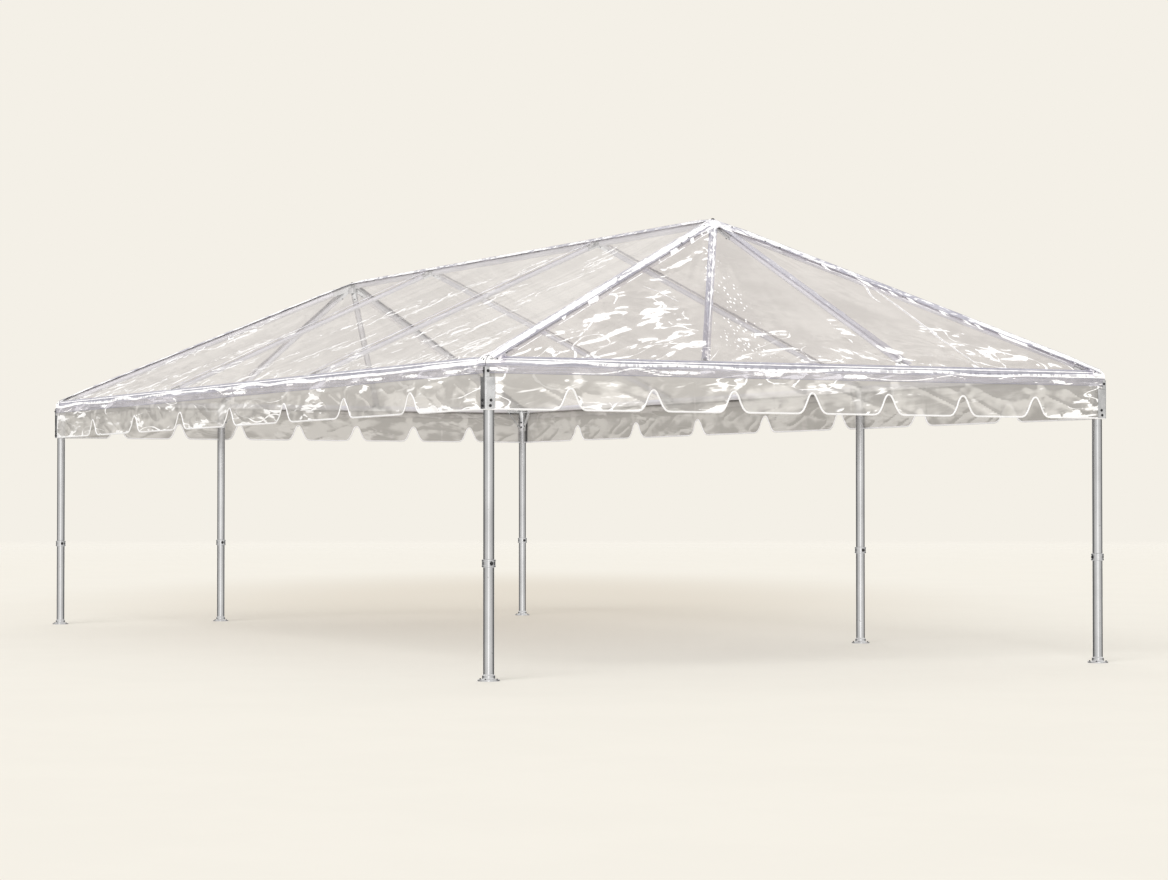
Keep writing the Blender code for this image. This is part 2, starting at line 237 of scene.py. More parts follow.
def lattice_noise(x: Array, y: Array | float, seed: int) -> Array:
    """A smooth random field from -1 to 1, one lump for each whole number of x and y.

    Random values stand on the whole-number points, and between them they are blended with the
    weight t*t*t*(t*(6t-15)+10).

    Args:
        x: First coordinate, of any shape.
        y: Second coordinate, of the same shape or one number.
        seed: Picks the table of random values.

    Returns:
        The field's values, of the shape of x.
    """
    size = 64
    table = np.random.default_rng(seed).uniform(-1.0, 1.0, (size, size))
    column, row = np.floor(x).astype(int), np.floor(y).astype(int)
    tx, ty = x - column, y - row
    tx = tx * tx * tx * (tx * (6 * tx - 15) + 10)
    ty = ty * ty * ty * (ty * (6 * ty - 15) + 10)
    left, right = column % size, (column + 1) % size
    low = table[row % size, left] * (1 - tx) + table[row % size, right] * tx
    row = row + 1
    high = table[row % size, left] * (1 - tx) + table[row % size, right] * tx
    return low * (1 - ty) + high * ty


def ease(value: Array, low: float, high: float) -> Array:
    """Rises smoothly from 0 at low to 1 at high, as 3t*t - 2t*t*t."""
    t = np.clip((value - low) / (high - low), 0.0, 1.0)
    return t * t * (3 - 2 * t)


def plateau(value: Array, rise: tuple[float, float], fall: tuple[float, float]) -> Array:
    """Eases up from 0 to 1 over the first span of values, and down again over the second."""
    return ease(value, *rise) * (1 - ease(value, *fall))


def bell(value: Array, width: float) -> Array:
    """A bell-shaped bump of height 1 at 0, as exp(-(value / width)^2)."""
    return np.exp(-((value / width) ** 2))


def unit(vector: Array) -> Array:
    """The vector, or each row of vectors, at length 1."""
    length = np.linalg.norm(vector, axis=-1, keepdims=True)
    return vector / np.maximum(length, 1e-12)


def travelled(path: Array) -> Array:
    """Distance run along a path at each of its points, from 0."""
    return np.concatenate([[0.0], np.cumsum(np.linalg.norm(np.diff(path, axis=0), axis=1))])


def step_from(start: Array, end: Array, distance: float) -> Array:
    """The point this far from start on the way to end."""
    return start + unit(end - start) * distance


def cross_axes(direction: Array) -> tuple[Array, Array]:
    """Two unit vectors square to a direction and to each other.

    Args:
        direction: Any vector but zero.

    Returns:
        The level one, or for a steep direction one square to X, and the third.
    """
    along = unit(np.asarray(direction, float))
    helper = UP if abs(along[2]) < 0.9 else ALONG_X
    side = unit(np.cross(helper, along))
    return side, np.cross(along, side)


def grid_faces(rows: int, columns: int) -> Array:
    """The quads between the points of a grid that is stored row by row.

    Args:
        rows: Points down the grid.
        columns: Points across it.

    Returns:
        Faces x 4 point numbers: n, n + 1, n + columns + 1 and n + columns.
    """
    row, column = np.meshgrid(np.arange(rows - 1), np.arange(columns - 1), indexing="ij")
    first = (row * columns + column).ravel()
    return np.stack([first, first + 1, first + columns + 1, first + columns], axis=1)


def grid_normals(points: Array) -> Array:
    """Unit normals of a grid of points: the cross product of its two difference directions."""
    return unit(np.cross(np.gradient(points, axis=0), np.gradient(points, axis=1)))


@dataclass
class Surface:
    """One or more grids of points gathered into the mesh of one piece."""

    points: list[Array] = field(default_factory=list)
    faces: list[Array] = field(default_factory=list)
    uvs: list[Array] = field(default_factory=list)
    crinkles: list[Array] = field(default_factory=list)
    values: dict[str, list[Array]] = field(default_factory=lambda: {n: [] for n in FIELDS})
    count: int = 0

    def grid(
        self,
        points: Array,
        uv: Array,
        crinkle: Array | None = None,
        fields: dict[str, Array] | None = None,
        over: bool = False,
    ) -> None:
        """Adds a grid.

        Args:
            points: Rows x columns x 3.
            uv: Rows x columns x 2, metres along the surface.
            crinkle: A second map of the same shape, stretched as crinkles run.
            fields: Rows x columns for any of the fields that the film's finish reads.
            over: Whether the columns go in the other order, which turns the faces over.
        """
        rows, columns = points.shape[:2]
        order = slice(None, None, -1 if over else 1)
        faces = grid_faces(rows, columns)
        self.points.append(points[:, order].reshape(-1, 3))
        self.faces.append(faces + self.count)
        second = uv if crinkle is None else crinkle
        for kept, grid in ((self.uvs, uv), (self.crinkles, second)):
            kept.append(grid[:, order].reshape(-1, 2)[faces.ravel()])
        for name, kept in self.values.items():
            values = (fields or {}).get(name, np.zeros((rows, columns)))
            kept.append(values[:, order].reshape(-1))
        self.count += rows * columns

    def turned(self, start: Array, end: Array, profile: Array | list, sides: int) -> None:
        """Adds a solid of revolution about the line from start to end.

        Each (distance, radius) of the profile becomes a ring: start + distance along the axis
        + radius * (cos angle * side + sin angle * up).

        Args:
            start: A point of the axis.
            end: Another point, which gives its direction.
            profile: Rows of (distance from start, radius), 0 radius where it closes.
            sides: How many faces go round.
        """
        axis = unit(end - start)
        side, up = cross_axes(axis)
        angle = np.linspace(0.0, math.tau, sides + 1)
        ring = np.cos(angle)[:, None] * side + np.sin(angle)[:, None] * up
        profile = np.asarray(profile, float)
        points = start + profile[:, :1, None] * axis + profile[:, 1:, None] * ring[None]
        points[:, -1] = points[:, 0]
        u, v = np.meshgrid(angle * float(profile[:, 1].max()), travelled(profile))
        self.grid(points, np.stack([u, v], axis=-1))

    def pipe(
        self, start: Array, end: Array, radius: float, sides: int, length: float | None = None
    ) -> None:
        """Adds a closed round bar with its edges eased by 2 mm.

        Args:
            start: Where its axis starts.
            end: Where it ends, or only its direction where a length is given.
            radius: Its radius.
            sides: How many faces go round.
            length: Its length, where that isn't the distance from start to end.
        """
        long = float(np.linalg.norm(end - start)) if length is None else length
        e = 0.002
        profile = [(0, 0), (0, radius - e), (e, radius)]
        profile += [(long - e, radius), (long, radius - e), (long, 0)]
        self.turned(start, end, profile, sides)

    def swept(self, path: Array, side: Array, up: Array, section: Array) -> None:
        """Carries a closed section along a path, and closes both ends to a point.

        Each point is path + section x * side + section y * up.

        Args:
            path: Points x 3.
            side: A direction for each point of the path, or one for all.
            up: The second direction, in the same way.
            section: Corners x 2, anticlockwise when seen from the path's end.
        """
        side = np.broadcast_to(side, path.shape)[:, None]
        up = np.broadcast_to(up, path.shape)[:, None]
        closed = np.concatenate([section, section[:1]])
        points = path[:, None] + closed[None, :, :1] * side + closed[None, :, 1:] * up
        tips = [np.repeat(path[at][None, None], len(closed), axis=1) for at in (0, -1)]
        points = np.concatenate([tips[0], points, tips[1]])
        run = travelled(path)
        run = np.concatenate([[run[0] - 0.01], run, [run[-1] + 0.01]])
        u, v = np.meshgrid(travelled(closed), run)
        self.grid(points, np.stack([u, v], axis=-1))

    def object(self, name: str, sheet: bool) -> bpy.types.Object:
        """Makes the object: grids joined, doubles merged, shaded smooth.

        Args:
            name: The piece's name.
            sheet: Whether it is an open sheet. Otherwise its shells are closed: their normals
                are turned outwards, and an edge above 38 degrees stays sharp.

        Returns:
            The linked object, at the origin.
        """
        mesh = bpy.data.meshes.new(name)
        points, faces = np.concatenate(self.points), np.concatenate(self.faces)
        mesh.from_pydata(points.tolist(), [], faces.tolist())
        for label, values in ((FINISH_UV, self.uvs), (CRINKLE_UV, self.crinkles)):
            layer = mesh.uv_layers.new(name=label)
            layer.data.foreach_set("uv", np.concatenate(values).astype(np.float32).ravel())
        for label, kept in self.values.items():
            layer = mesh.attributes.new(label, "FLOAT", "POINT")
            layer.data.foreach_set("value", np.concatenate(kept).astype(np.float32))
        tool = bmesh.new()
        tool.from_mesh(mesh)
        bmesh.ops.remove_doubles(tool, verts=tool.verts, dist=2e-6)
        if not sheet:
            bmesh.ops.recalc_face_normals(tool, faces=tool.faces)
        tool.to_mesh(mesh)
        tool.free()
        mesh.shade_smooth()
        mesh.set_sharp_from_angle(angle=math.radians(180.0 if sheet else 38.0))
        made = bpy.data.objects.new(name, mesh)
        bpy.context.scene.collection.objects.link(made)
        return made

    def piece(self, name: str, look: "Look", *stands_for: str) -> bpy.types.Object:
        """Makes the object with its material, its body and the nodes it stands for.

        Args:
            name: The piece's name.
            look: Its look.
            stands_for: The CAD nodes that it replaces.

        Returns:
            The finished piece.
        """
        finish, slot, sheet = look.value
        made = self.object(name, sheet)
        made.data.materials.append(bpy.data.materials.get(finish.name) or finish.material())
        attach(made, BODY)
        if stands_for:
            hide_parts(*stands_for)
        log.info("%s: %d faces", made.name, len(made.data.polygons))
        return made


def round_section(wide: float, high: float, corners: int = 12) -> Array:
    """An oval section: half-widths wide and high, as (wide cos a, high sin a)."""
    angle = np.linspace(0.0, math.tau, corners, endpoint=False)
    return np.stack([wide * np.cos(angle), high * np.sin(angle)], axis=1)


def strip_section(wide: float, thick: float) -> Array:
    """A flat bar's section, its corners cut by 0.3 of the smaller side.

    Args:
        wide: Its width.
        thick: Its thickness.

    Returns:
        8 corners x 2.
    """
    e = min(thick, wide) * 0.3
    x, y = wide / 2, thick / 2
    near = [(x, -y + e), (x, y - e), (x - e, y), (-x + e, y)]
    return np.array(near + [(-a, -b) for a, b in near])


def bolt(surface: Surface, place: Array, direction: Array, size: float) -> None:
    """Adds a washer and a six-sided head with its stub, standing on a face.

    Args:
        surface: What it is added to.
        place: The centre of the washer's foot.
        direction: Outwards from the face.
        size: The head's radius.
    """
    low = place - unit(direction) * 0.001
    washer = [(0, 0), (0, 1.5), (0.28, 1.5), (0.34, 1.42), (0.34, 0)]
    head = [(0.3, 0), (0.3, 1.0), (0.95, 1.0), (1.08, 0.82), (1.08, 0)]
    stub = [(1.0, 0), (1.0, 0.5), (1.5, 0.5), (1.6, 0.38), (1.6, 0)]
    for outline, sides in ((washer, 14), (head, 6), (stub, 8)):
        surface.turned(low, low + unit(direction), np.array(outline) * size, sides)


def sleeve_bolt(
    surface: Surface, start: Array, end: Array, distance: float, radius: float, size: float
) -> None:
    """Adds a bolt on the underside of a round sleeve.

    Args:
        surface: What it is added to.
        start: Where the sleeve's axis starts.
        end: Another point of the axis.
        distance: How far along the axis the bolt stands.
        radius: The sleeve's radius.
        size: The bolt head's radius.
    """
    axis = unit(end - start)
    below = -np.cross(unit(np.cross(axis, UP)), axis)
    bolt(surface, start + axis * distance + below * (radius - 0.002), below, size)


# Finishes


class Level:
    """A number that a material works out. The usual signs join it to others."""

    def __init__(self, sheet: "NodeSheet", socket: Socket) -> None:
        """Keeps a node's result with the sheet that it is laid out on."""
        self.sheet = sheet
        self.socket = socket

    def __add__(self, other: "Level | float") -> "Level":
        """This number plus another."""
        return self.sheet.math("ADD", self, other)

    def __sub__(self, other: "Level | float") -> "Level":
        """This number less another."""
        return self.sheet.math("SUBTRACT", self, other)

    def __rsub__(self, other: float) -> "Level":
        """A plain number less this one."""
        return self.sheet.math("SUBTRACT", other, self)

    def __mul__(self, other: "Level | float") -> "Level":
        """This number times another."""
        return self.sheet.math("MULTIPLY", self, other)

    def __truediv__(self, other: float) -> "Level":
        """This number divided by a plain one."""
        return self.sheet.math("DIVIDE", self, other)

    def __abs__(self) -> "Level":
        """This number without its sign."""
        return self.sheet.math("ABSOLUTE", self)

    def most(self, other: "Level") -> "Level":
        """The larger of two numbers."""
        return self.sheet.math("MAXIMUM", self, other)


Number = Level | Socket | float
Tint = tuple[float, ...] | Socket


class NodeSheet:
    """The node tree of a material or a world while it is being laid out."""

    def __init__(self, owner: Material | bpy.types.World) -> None:
        """Empties the owner's node tree.

        Args:
            owner: The new material or world.
        """
        self.owner = owner
        owner.use_nodes = True
        self.tree = owner.node_tree
        self.tree.nodes.clear()

    def add(self, kind: str, inputs: dict, **settings: object) -> bpy.types.Node:
        """Adds a node.

        Args:
            kind: Blender's name of the node.
            inputs: Values, levels or sockets by the name or number of the input.
            settings: The node's own properties.

        Returns:
            The node.
        """
        node = self.tree.nodes.new(kind)
        for key, value in settings.items():
            setattr(node, key, value)
        for key, value in inputs.items():
            value = value.socket if isinstance(value, Level) else value
            if isinstance(value, Socket):
                self.tree.links.new(value, node.inputs[key])
            else:
                node.inputs[key].default_value = value
        return node

    def level(
        self, kind: str, inputs: dict, output: int | str = 0, **settings: object
    ) -> Level:
        """Adds a node for the number that one of its outputs gives."""
        return Level(self, self.add(kind, inputs, **settings).outputs[output])

    def math(self, operation: str, a: Number, b: Number = 0.0, clamp: bool = False) -> Level:
        """The result of one operation on two numbers or levels."""
        return self.level("ShaderNodeMath", {0: a, 1: b}, operation=operation, use_clamp=clamp)

    def spread(
        self, value: Number, low: float, high: float, out_low: float = 0.0, out_high: float = 1.0
    ) -> Level:
        """Maps value smoothly from low..high to out_low..out_high, held at both ends."""
        inputs = {"Value": value, "From Min": low, "From Max": high}
        inputs.update({"To Min": out_low, "To Max": out_high})
        return self.level("ShaderNodeMapRange", inputs, interpolation_type="SMOOTHSTEP")

    def blend(self, factor: Number, a: Tint, b: Tint) -> Socket:
        """A mix of two colours, each a tuple of three or a socket."""
        first, second = ((*c, 1.0) if isinstance(c, tuple) else c for c in (a, b))
        inputs = {0: factor, 6: first, 7: second}
        return self.add("ShaderNodeMix", inputs, data_type="RGBA").outputs[2]

    def vector(self, operation: str, a: Tint, b: Tint = (0.0, 0.0, 0.0)) -> Socket:
        """The result of one operation on one or two vectors or sockets."""
        return self.add("ShaderNodeVectorMath", {0: a, 1: b}, operation=operation).outputs[0]

    def surface_uv(self, across: float = 1.0, down: float = 1.0, name: str = FINISH_UV) -> Socket:
        """One of the piece's own maps, in metres, times a scale for each direction."""
        uv = self.add("ShaderNodeUVMap", {}, uv_map=name).outputs[0]
        return self.vector("MULTIPLY", uv, (across, down, 1.0))

    def noise(
        self, vector: Socket, scale: float = 1.0, detail: float = 3.0, rough: float = 0.5,
        twist: float = 0.0,
    ) -> Level:
        """A fractal noise from 0 to 1 on a vector."""
        inputs = {"Vector": vector, "Scale": scale, "Detail": detail}
        inputs.update({"Roughness": rough, "Distortion": twist})
        return self.level("ShaderNodeTexNoise", inputs)

    def length(self, vector: Socket) -> Level:
        """The length of a vector."""
        return self.level("ShaderNodeVectorMath", {0: vector}, "Value", operation="LENGTH")

    def value(self, name: str) -> Level:
        """One of the piece's own fields."""
        return self.level("ShaderNodeAttribute", {}, "Fac", attribute_name=name)

    def back(self) -> Level:
        """1 where a face is seen from its back, else 0."""
        return self.level("ShaderNodeNewGeometry", {}, "Backfacing")

    def tinted(self, colour: Tint, share: float) -> Socket:
        """A colour times a share."""
        return self.vector("MULTIPLY", colour, (share, share, share))

    def place(self) -> Socket:
        """The point in the marquee's own frame."""
        return self.add("ShaderNodeTexCoord", {}).outputs["Object"]

    def bump(self, height: Level, strength: float, distance: float) -> Socket:
        """The normal on a relief of this height."""
        inputs = {"Height": height, "Strength": strength, "Distance": distance}
        return self.add("ShaderNodeBump", inputs).outputs[0]

    def solid(
        self, colour: Tint, rough: Number, normal: Socket | None = None, metallic: float = 0.0,
        specular: float = 0.5,
    ) -> Socket:
        """A solid surface.

        Args:
            colour: Its base colour.
            rough: Its roughness.
            normal: The normal of its relief.
            metallic: How metallic it is.
            specular: How strongly it mirrors.

        Returns:
            The shader.
        """
        inputs = {"Base Color": colour, "Roughness": rough, "Metallic": metallic}
        inputs["Specular IOR Level"] = specular
        if normal is not None:
            inputs["Normal"] = normal
        return self.add("ShaderNodeBsdfPrincipled", inputs).outputs[0]

    def clear(self, colour: Tint) -> Socket:
        """A shader that lets light pass straight through, tinted."""
        return self.add("ShaderNodeBsdfTransparent", {"Color": colour}).outputs[0]

    def joined(self, factor: Number, first: Socket, second: Socket) -> Socket:
        """A mix of two shaders."""
        return self.add("ShaderNodeMixShader", {0: factor, 1: first, 2: second}).outputs[0]

    def finish(self, shader: Socket, output: str = "ShaderNodeOutputMaterial") -> Material:
        """Joins a shader to the output, and gives the owner back."""
        self.add(output, {"Surface": shader})
        return self.owner


@dataclass(frozen=True)
class TubeFinish:
    """Drawn aluminium tube: lengthwise draw lines, cloudy oxide and small scratches."""

    name: str = "drawn_aluminium"
    light: Colour = (0.77, 0.775, 0.79)
    dark: Colour = (0.585, 0.59, 0.605)
    stain: Colour = (0.30, 0.30, 0.30)
    rough_low: float = 0.12
    rough_high: float = 0.2
    grain: float = 0.05
    metallic: float = 1.0
    specular: float = 0.5

    def material(self) -> Material:
        """Builds the node material.

        Returns:
            The material.
        """
        s = NodeSheet(bpy.data.materials.new(self.name))
        lines = s.noise(s.surface_uv(55.0, 0.9), detail=5.0, rough=0.6)
        clouds = s.noise(s.place(), scale=2.6, detail=4.0, rough=0.6)
        spots = s.noise(s.place(), scale=38.0, detail=2.0)
        tone = s.spread(lines * 0.6 + clouds * 0.5, 0.35, 0.75)
        colour = s.blend(tone, self.dark, self.light)
        colour = s.blend(s.spread(spots, 0.66, 0.74, 0.0, 0.35), colour, self.stain)
        rough = s.spread(lines, 0.35, 0.7, self.rough_low, self.rough_high)
        scratch = s.noise(s.surface_uv(420.0, 5.0), detail=3.0, rough=0.7)
        bump = s.bump(scratch, self.grain, 0.002)
        return s.finish(s.solid(colour, rough, bump, self.metallic, self.specular))


@dataclass(frozen=True)
class CastFinish:
    """Cast or pressed fitting: a fine sand grain, duller than the tube."""

    name: str = "cast_aluminium"
    light: Colour = (0.90, 0.905, 0.915)
    dark: Colour = (0.62, 0.625, 0.635)
    rough: float = 0.22

    def material(self) -> Material:
        """Builds the node material.

        Returns:
            The material.
        """
        s = NodeSheet(bpy.data.materials.new(self.name))
        clouds = s.noise(s.place(), scale=7.0, detail=5.0, rough=0.6)
        grain = s.noise(s.place(), scale=260.0, detail=2.0)
        colour = s.blend(s.spread(clouds, 0.35, 0.7), self.dark, self.light)
        rough = s.spread(clouds, 0.3, 0.7, self.rough - 0.08, self.rough + 0.1)
        return s.finish(s.solid(colour, rough, s.bump(grain, 0.25, 0.001), metallic=1.0))


@dataclass(frozen=True)
class BoltFinish:
    """Blackened steel bolts and holes, with bare metal on their worn spots."""

    name: str = "black_bolt"
    colour: Colour = (0.035, 0.035, 0.038)
    worn: Colour = (0.22, 0.22, 0.22)

    def material(self) -> Material:
        """Builds the node material.

        Returns:
            The material.
        """
        s = NodeSheet(bpy.data.materials.new(self.name))
        wear = s.spread(s.noise(s.place(), scale=140.0, detail=3.0), 0.55, 0.72)
        colour = s.blend(wear, self.colour, self.worn)
        return s.finish(s.solid(colour, s.spread(wear, 0.0, 1.0, 0.45, 0.3), metallic=0.8))


@dataclass(frozen=True)
class FilmFinish:
    """Clear vinyl film: it passes light, mirrors it at a slant, and has painted glints on its
    crinkles.

    The clear share is a Transparent shader mixed with a Glossy one by a slant rule of
    low + high * (1 - cos)^4. The crinkles are a noise whose slope is taken by differences: where a
    flank is steeper than the edge value a crisp white glint is painted, with a softer one round it.
    The crease field makes the flanks steeper, so the painted glints gather there. The tint also
    takes painted shade from the folds' slopes, on the end slopes and on back faces.
    """

    name: str
    clear: Colour = (0.950, 0.937, 0.942)
    clear_dark: Colour = (0.860, 0.845, 0.850)
    heavy: Colour = (0.935, 0.935, 0.940)
    painted_back_shading: float = 1.0
    haze: float = 0.05
    haze_colour: Colour = (0.72, 0.70, 0.69)
    haze_dark: float = 0.72
    painted_glint_colour: Colour = (0.98, 0.98, 0.99)
    glint_opacity: float = 0.95
    edge: float = 0.23
    soft_edge: float = 0.12
    soft_opacity: float = 0.20
    painted_fold_shading: float = 0.32
    fold_glint: float = 0.5
    slant_low: float = 0.05
    slant_high: float = 0.30
    line_width: float = 0.004
    line_from: float = 0.35
    bump: float = 0.5
    step: float = 0.06
    detail: float = 1.7

    def crinkle(self, s: NodeSheet) -> tuple[Level, Level, Level]:
        """The crinkle noise, in its own stretched map that a slow noise bends.

        Args:
            s: The material's node tree.

        Returns:
            The noise, and its slopes across and down, as (noise a step on - noise) / step.
        """
        base = s.surface_uv(name=CRINKLE_UV)
        warp = s.add("ShaderNodeTexNoise", {"Vector": base, "Scale": 0.45, "Detail": 1.0})
        bent = s.vector("MULTIPLY", warp.outputs["Color"], (1.7, 1.7, 0.0))
        bent = s.vector("ADD", base, bent)
        here = s.noise(bent, detail=self.detail)
        across = s.noise(s.vector("ADD", bent, (self.step, 0, 0)), detail=self.detail)
        down = s.noise(s.vector("ADD", bent, (0, self.step, 0)), detail=self.detail)
        return here, (across - here) / self.step, (down - here) / self.step

    def glints(self, s: NodeSheet, across: Level, down: Level) -> tuple[Level, Level]:
        """The painted glints of steep flanks, of separate drops and of long thin lines.

        Args:
            s: The material's node tree.
            across: The crinkle's slope across.
            down: Its slope down.

        Returns:
            The crisp painted glints and their soft surround.
        """
        crease = s.value(CREASE)
        steep = (down - abs(across) * 0.55 + s.value(TILT) * self.fold_glint) * crease
        crisp = s.spread(steep, self.edge, self.edge + 0.035)
        soft = s.spread(steep, self.soft_edge, self.edge)
        # Painted glint dots where the speckle field is set.
        inputs = {"Vector": s.surface_uv(30.0, 17.0), "Scale": 1.0, "Randomness": 0.8}
        dots = s.level("ShaderNodeTexVoronoi", inputs, "Distance")
        crisp = crisp.most(s.spread(s.value(SPECKLE) * 0.30 - dots, 0.0, 0.04))
        # Painted glint lines along the contours of a slow noise.
        creases = s.noise(s.surface_uv(name=CRINKLE_UV), scale=0.62, detail=0.6)
        line = abs(across) * 0.02 + self.line_width - abs(creases - 0.5)
        gate = s.spread(crease, self.line_from, self.line_from + 0.25)
        return crisp.most(s.spread(line, 0.0, 0.004) * gate), soft

    def material(self) -> Material:
        """Builds the node material.

        Returns:
            The material.
        """
        s = NodeSheet(bpy.data.materials.new(self.name))
        here, across, down = self.crinkle(s)
        crisp, soft = self.glints(s, across, down)
        streaks = s.noise(s.surface_uv(1.5, 0.4), detail=4.0, rough=0.6, twist=0.5)
        drawn = s.noise(s.surface_uv(0.09, 0.42, CRINKLE_UV), detail=3.0, twist=0.3)
        crease = s.math("MINIMUM", s.value(CREASE), 1.1)
        # Painted shade: the crinkles' and folds' slopes and the tilt field lighten or darken the tint,
        # over its random streaks.
        shade = (across + down) * 0.5 * (crease + 0.25) + s.value(TILT)
        tone = streaks + (drawn - 0.5) * 0.9 + shade * self.painted_fold_shading
        tone = s.spread(tone, 0.30, 0.72)
        clear = s.blend(tone, self.clear_dark, self.clear)
        # Painted shade: the end slopes' clear tint is darker.
        clear = s.blend(s.value(PAINTED_END_SHADE), clear, s.vector("MULTIPLY", clear, self.heavy))
        # Painted shade on back faces: their tint is scaled down.
        back = s.back()
        clear = s.blend(back, clear, s.tinted(clear, self.painted_back_shading))
        # The painted glints fade on back faces.
        outer = 1.0 - back * 0.85
        crisp, soft = crisp * outer, soft * outer
        fine = s.noise(s.surface_uv(16.0, 9.0), detail=2.0, rough=0.6)
        bump = s.bump(here * 0.8 + fine * 0.1, self.bump, 0.02)
        facing = s.level("ShaderNodeLayerWeight", {"Blend": 0.5, "Normal": bump}, "Facing")
        slant = s.math("POWER", facing, 4.0) * self.slant_high
        slant = s.math("ADD", slant, self.slant_low, clamp=True)
        inputs = {"Color": (1.0, 1.0, 1.0, 1.0), "Roughness": 0.08, "Normal": bump}
        mirror = s.add("ShaderNodeBsdfGlossy", inputs).outputs[0]
        clear_share = s.joined(slant, s.clear(clear), mirror)
        # The haze takes the same painted fold shade.
        dark = tuple(c * self.haze_dark for c in self.haze_colour)
        dull = s.blend(tone, dark, self.haze_colour)
        dull = s.blend(back, dull, s.tinted(dull, self.painted_back_shading))
        # The milky share turns white where the glints are painted.
        milky = s.solid(s.blend(crisp.most(soft), dull, self.painted_glint_colour), 0.25, bump)
        opacity = soft * self.soft_opacity + self.haze
        opacity = opacity.most(crisp * self.glint_opacity)
        return s.finish(s.joined(opacity, clear_share, milky))


@dataclass(frozen=True)
class BandFinish:
    """The reinforced bands: double film over webbing, lavender white, with ragged painted white
    highlights.
    """

    name: str
    colour: Colour = (0.57, 0.57, 0.645)
    shade: Colour = (0.42, 0.42, 0.49)
    white: Colour = (0.99, 0.99, 1.0)
    seam: Colour = (0.24, 0.24, 0.30)
    painted_back_shading: Colour = (1.25, 1.21, 1.12)
    opacity_low: float = 0.72
    opacity_high: float = 0.97
    clear: Colour = (0.90, 0.89, 0.91)

    def material(self) -> Material:
        """Builds the node material.

        Returns:
            The material.
        """
        s = NodeSheet(bpy.data.materials.new(self.name))
        rags = s.noise(s.surface_uv(9.0, 26.0), detail=4.0, rough=0.65, twist=0.7)
        teeth = s.noise(s.surface_uv(27.0, 7.0), detail=1.0, twist=0.4)
        lines = s.noise(s.surface_uv(1.6, 70.0))
        # Painted highlight: where the crease level and the ragged noise run high, the band turns white
        # and opaque.
        level = rags * 0.7 + s.value(CREASE) * 0.42
        white = s.spread(level, 0.50, 0.58)
        body = s.blend(s.spread(lines, 0.4, 0.62), self.shade, self.colour)
        colour = s.blend(white, body, self.white)
        tilt = s.value(TILT)
        seam = s.spread(tilt, 0.45, 0.95) * 0.75
        toothed = s.spread(tilt, 0.05, 0.25) * s.spread(tilt, 0.45, 0.30)
        toothed = toothed * s.spread(teeth, 0.50, 0.56, 0.0, 0.55)
        colour = s.blend(seam.most(toothed), colour, self.seam)
        opacity = s.spread(level, 0.30, 0.60, self.opacity_low, self.opacity_high)
        opacity = opacity * (1.0 - s.value(SPECKLE) * 0.55)
        back = s.back()
        loose = back * s.spread(s.value(SPECKLE), 0.3, 1.2, 0.0, 0.9)
        opacity = opacity.most(white) * (1.0 - loose)
        # Painted light: back faces show the band's body, lightened.
        colour = s.blend(back, colour, s.vector("MULTIPLY", body, self.painted_back_shading))
        solid = s.solid(colour, 0.45, s.bump(level, 0.4, 0.01), specular=0.05)
        return s.finish(s.joined(opacity, s.clear((*self.clear, 1.0)), solid))


@dataclass(frozen=True)
class BindingFinish:
    """The hem's bound edge: glossy white vinyl tape with a row of stitches."""

    name: str = "white_binding"
    colour: Colour = (0.84, 0.84, 0.855)
    soiled: Colour = (0.68, 0.67, 0.67)
    stitches: float = 260.0

    def material(self) -> Material:
        """Builds the node material.

        Returns:
            The material.
        """
        s = NodeSheet(bpy.data.materials.new(self.name))
        dirt = s.noise(s.surface_uv(20.0, 3.0), detail=4.0, rough=0.6)
        run = s.level("ShaderNodeSeparateXYZ", {0: s.surface_uv(1.0, self.stitches)}, 1)
        stitch = s.math("SINE", run * math.pi)
        colour = s.blend(s.spread(dirt, 0.58, 0.78, 0.0, 0.6), self.colour, self.soiled)
        return s.finish(s.solid(colour, 0.3, s.bump(stitch, 0.3, 0.001)))


@dataclass(frozen=True)
class FloorFinish:
    """A pale seamless floor that fades into the backdrop, with a soft warm pool of shade.

    The pool stands for the light that the crinkled film scatters away. Its depth falls smoothly
    with the length of the place from its centre, turned by its bearing and divided by its radii.
    """

    name: str = "pale_floor"
    colour: Colour = (0.830, 0.814, 0.760)
    shaded: Colour = (0.718, 0.680, 0.610)
    full: float = 26.0
    gone: float = 80.0
    pool_centre: tuple[float, float, float] = (-11.4, 5.4, 0.0)
    pool_bearing: float = math.radians(153.6)
    pool_radii: tuple[float, float] = (17.5, 7.4)

    def material(self) -> Material:
        """Builds the node material.

        Returns:
            The material.
        """
        s = NodeSheet(bpy.data.materials.new(self.name))
        solid = s.spread(s.length(s.place()), self.full, self.gone, 1.0, 0.0)
        grain = s.noise(s.place(), scale=0.6, detail=5.0, rough=0.7)
        low = tuple(c * 0.99 for c in self.colour)
        colour = s.blend(s.spread(grain, 0.4, 0.6), low, self.colour)
        turn = (0.0, 0.0, self.pool_bearing)
        inputs = {"Vector": s.place(), "Location": self.pool_centre, "Rotation": turn}
        inputs["Scale"] = (*self.pool_radii, 1.0)
        turned = s.add("ShaderNodeMapping", inputs, vector_type="TEXTURE").outputs[0]
        pool = s.spread(s.length(turned), 0.25, 1.15, 1.0, 0.0)
        colour = s.blend(pool, colour, self.shaded)
        matt = s.add("ShaderNodeBsdfDiffuse", {"Color": colour}).outputs[0]
        return s.finish(s.joined(solid, s.clear((1.0, 1.0, 1.0, 1.0)), matt))


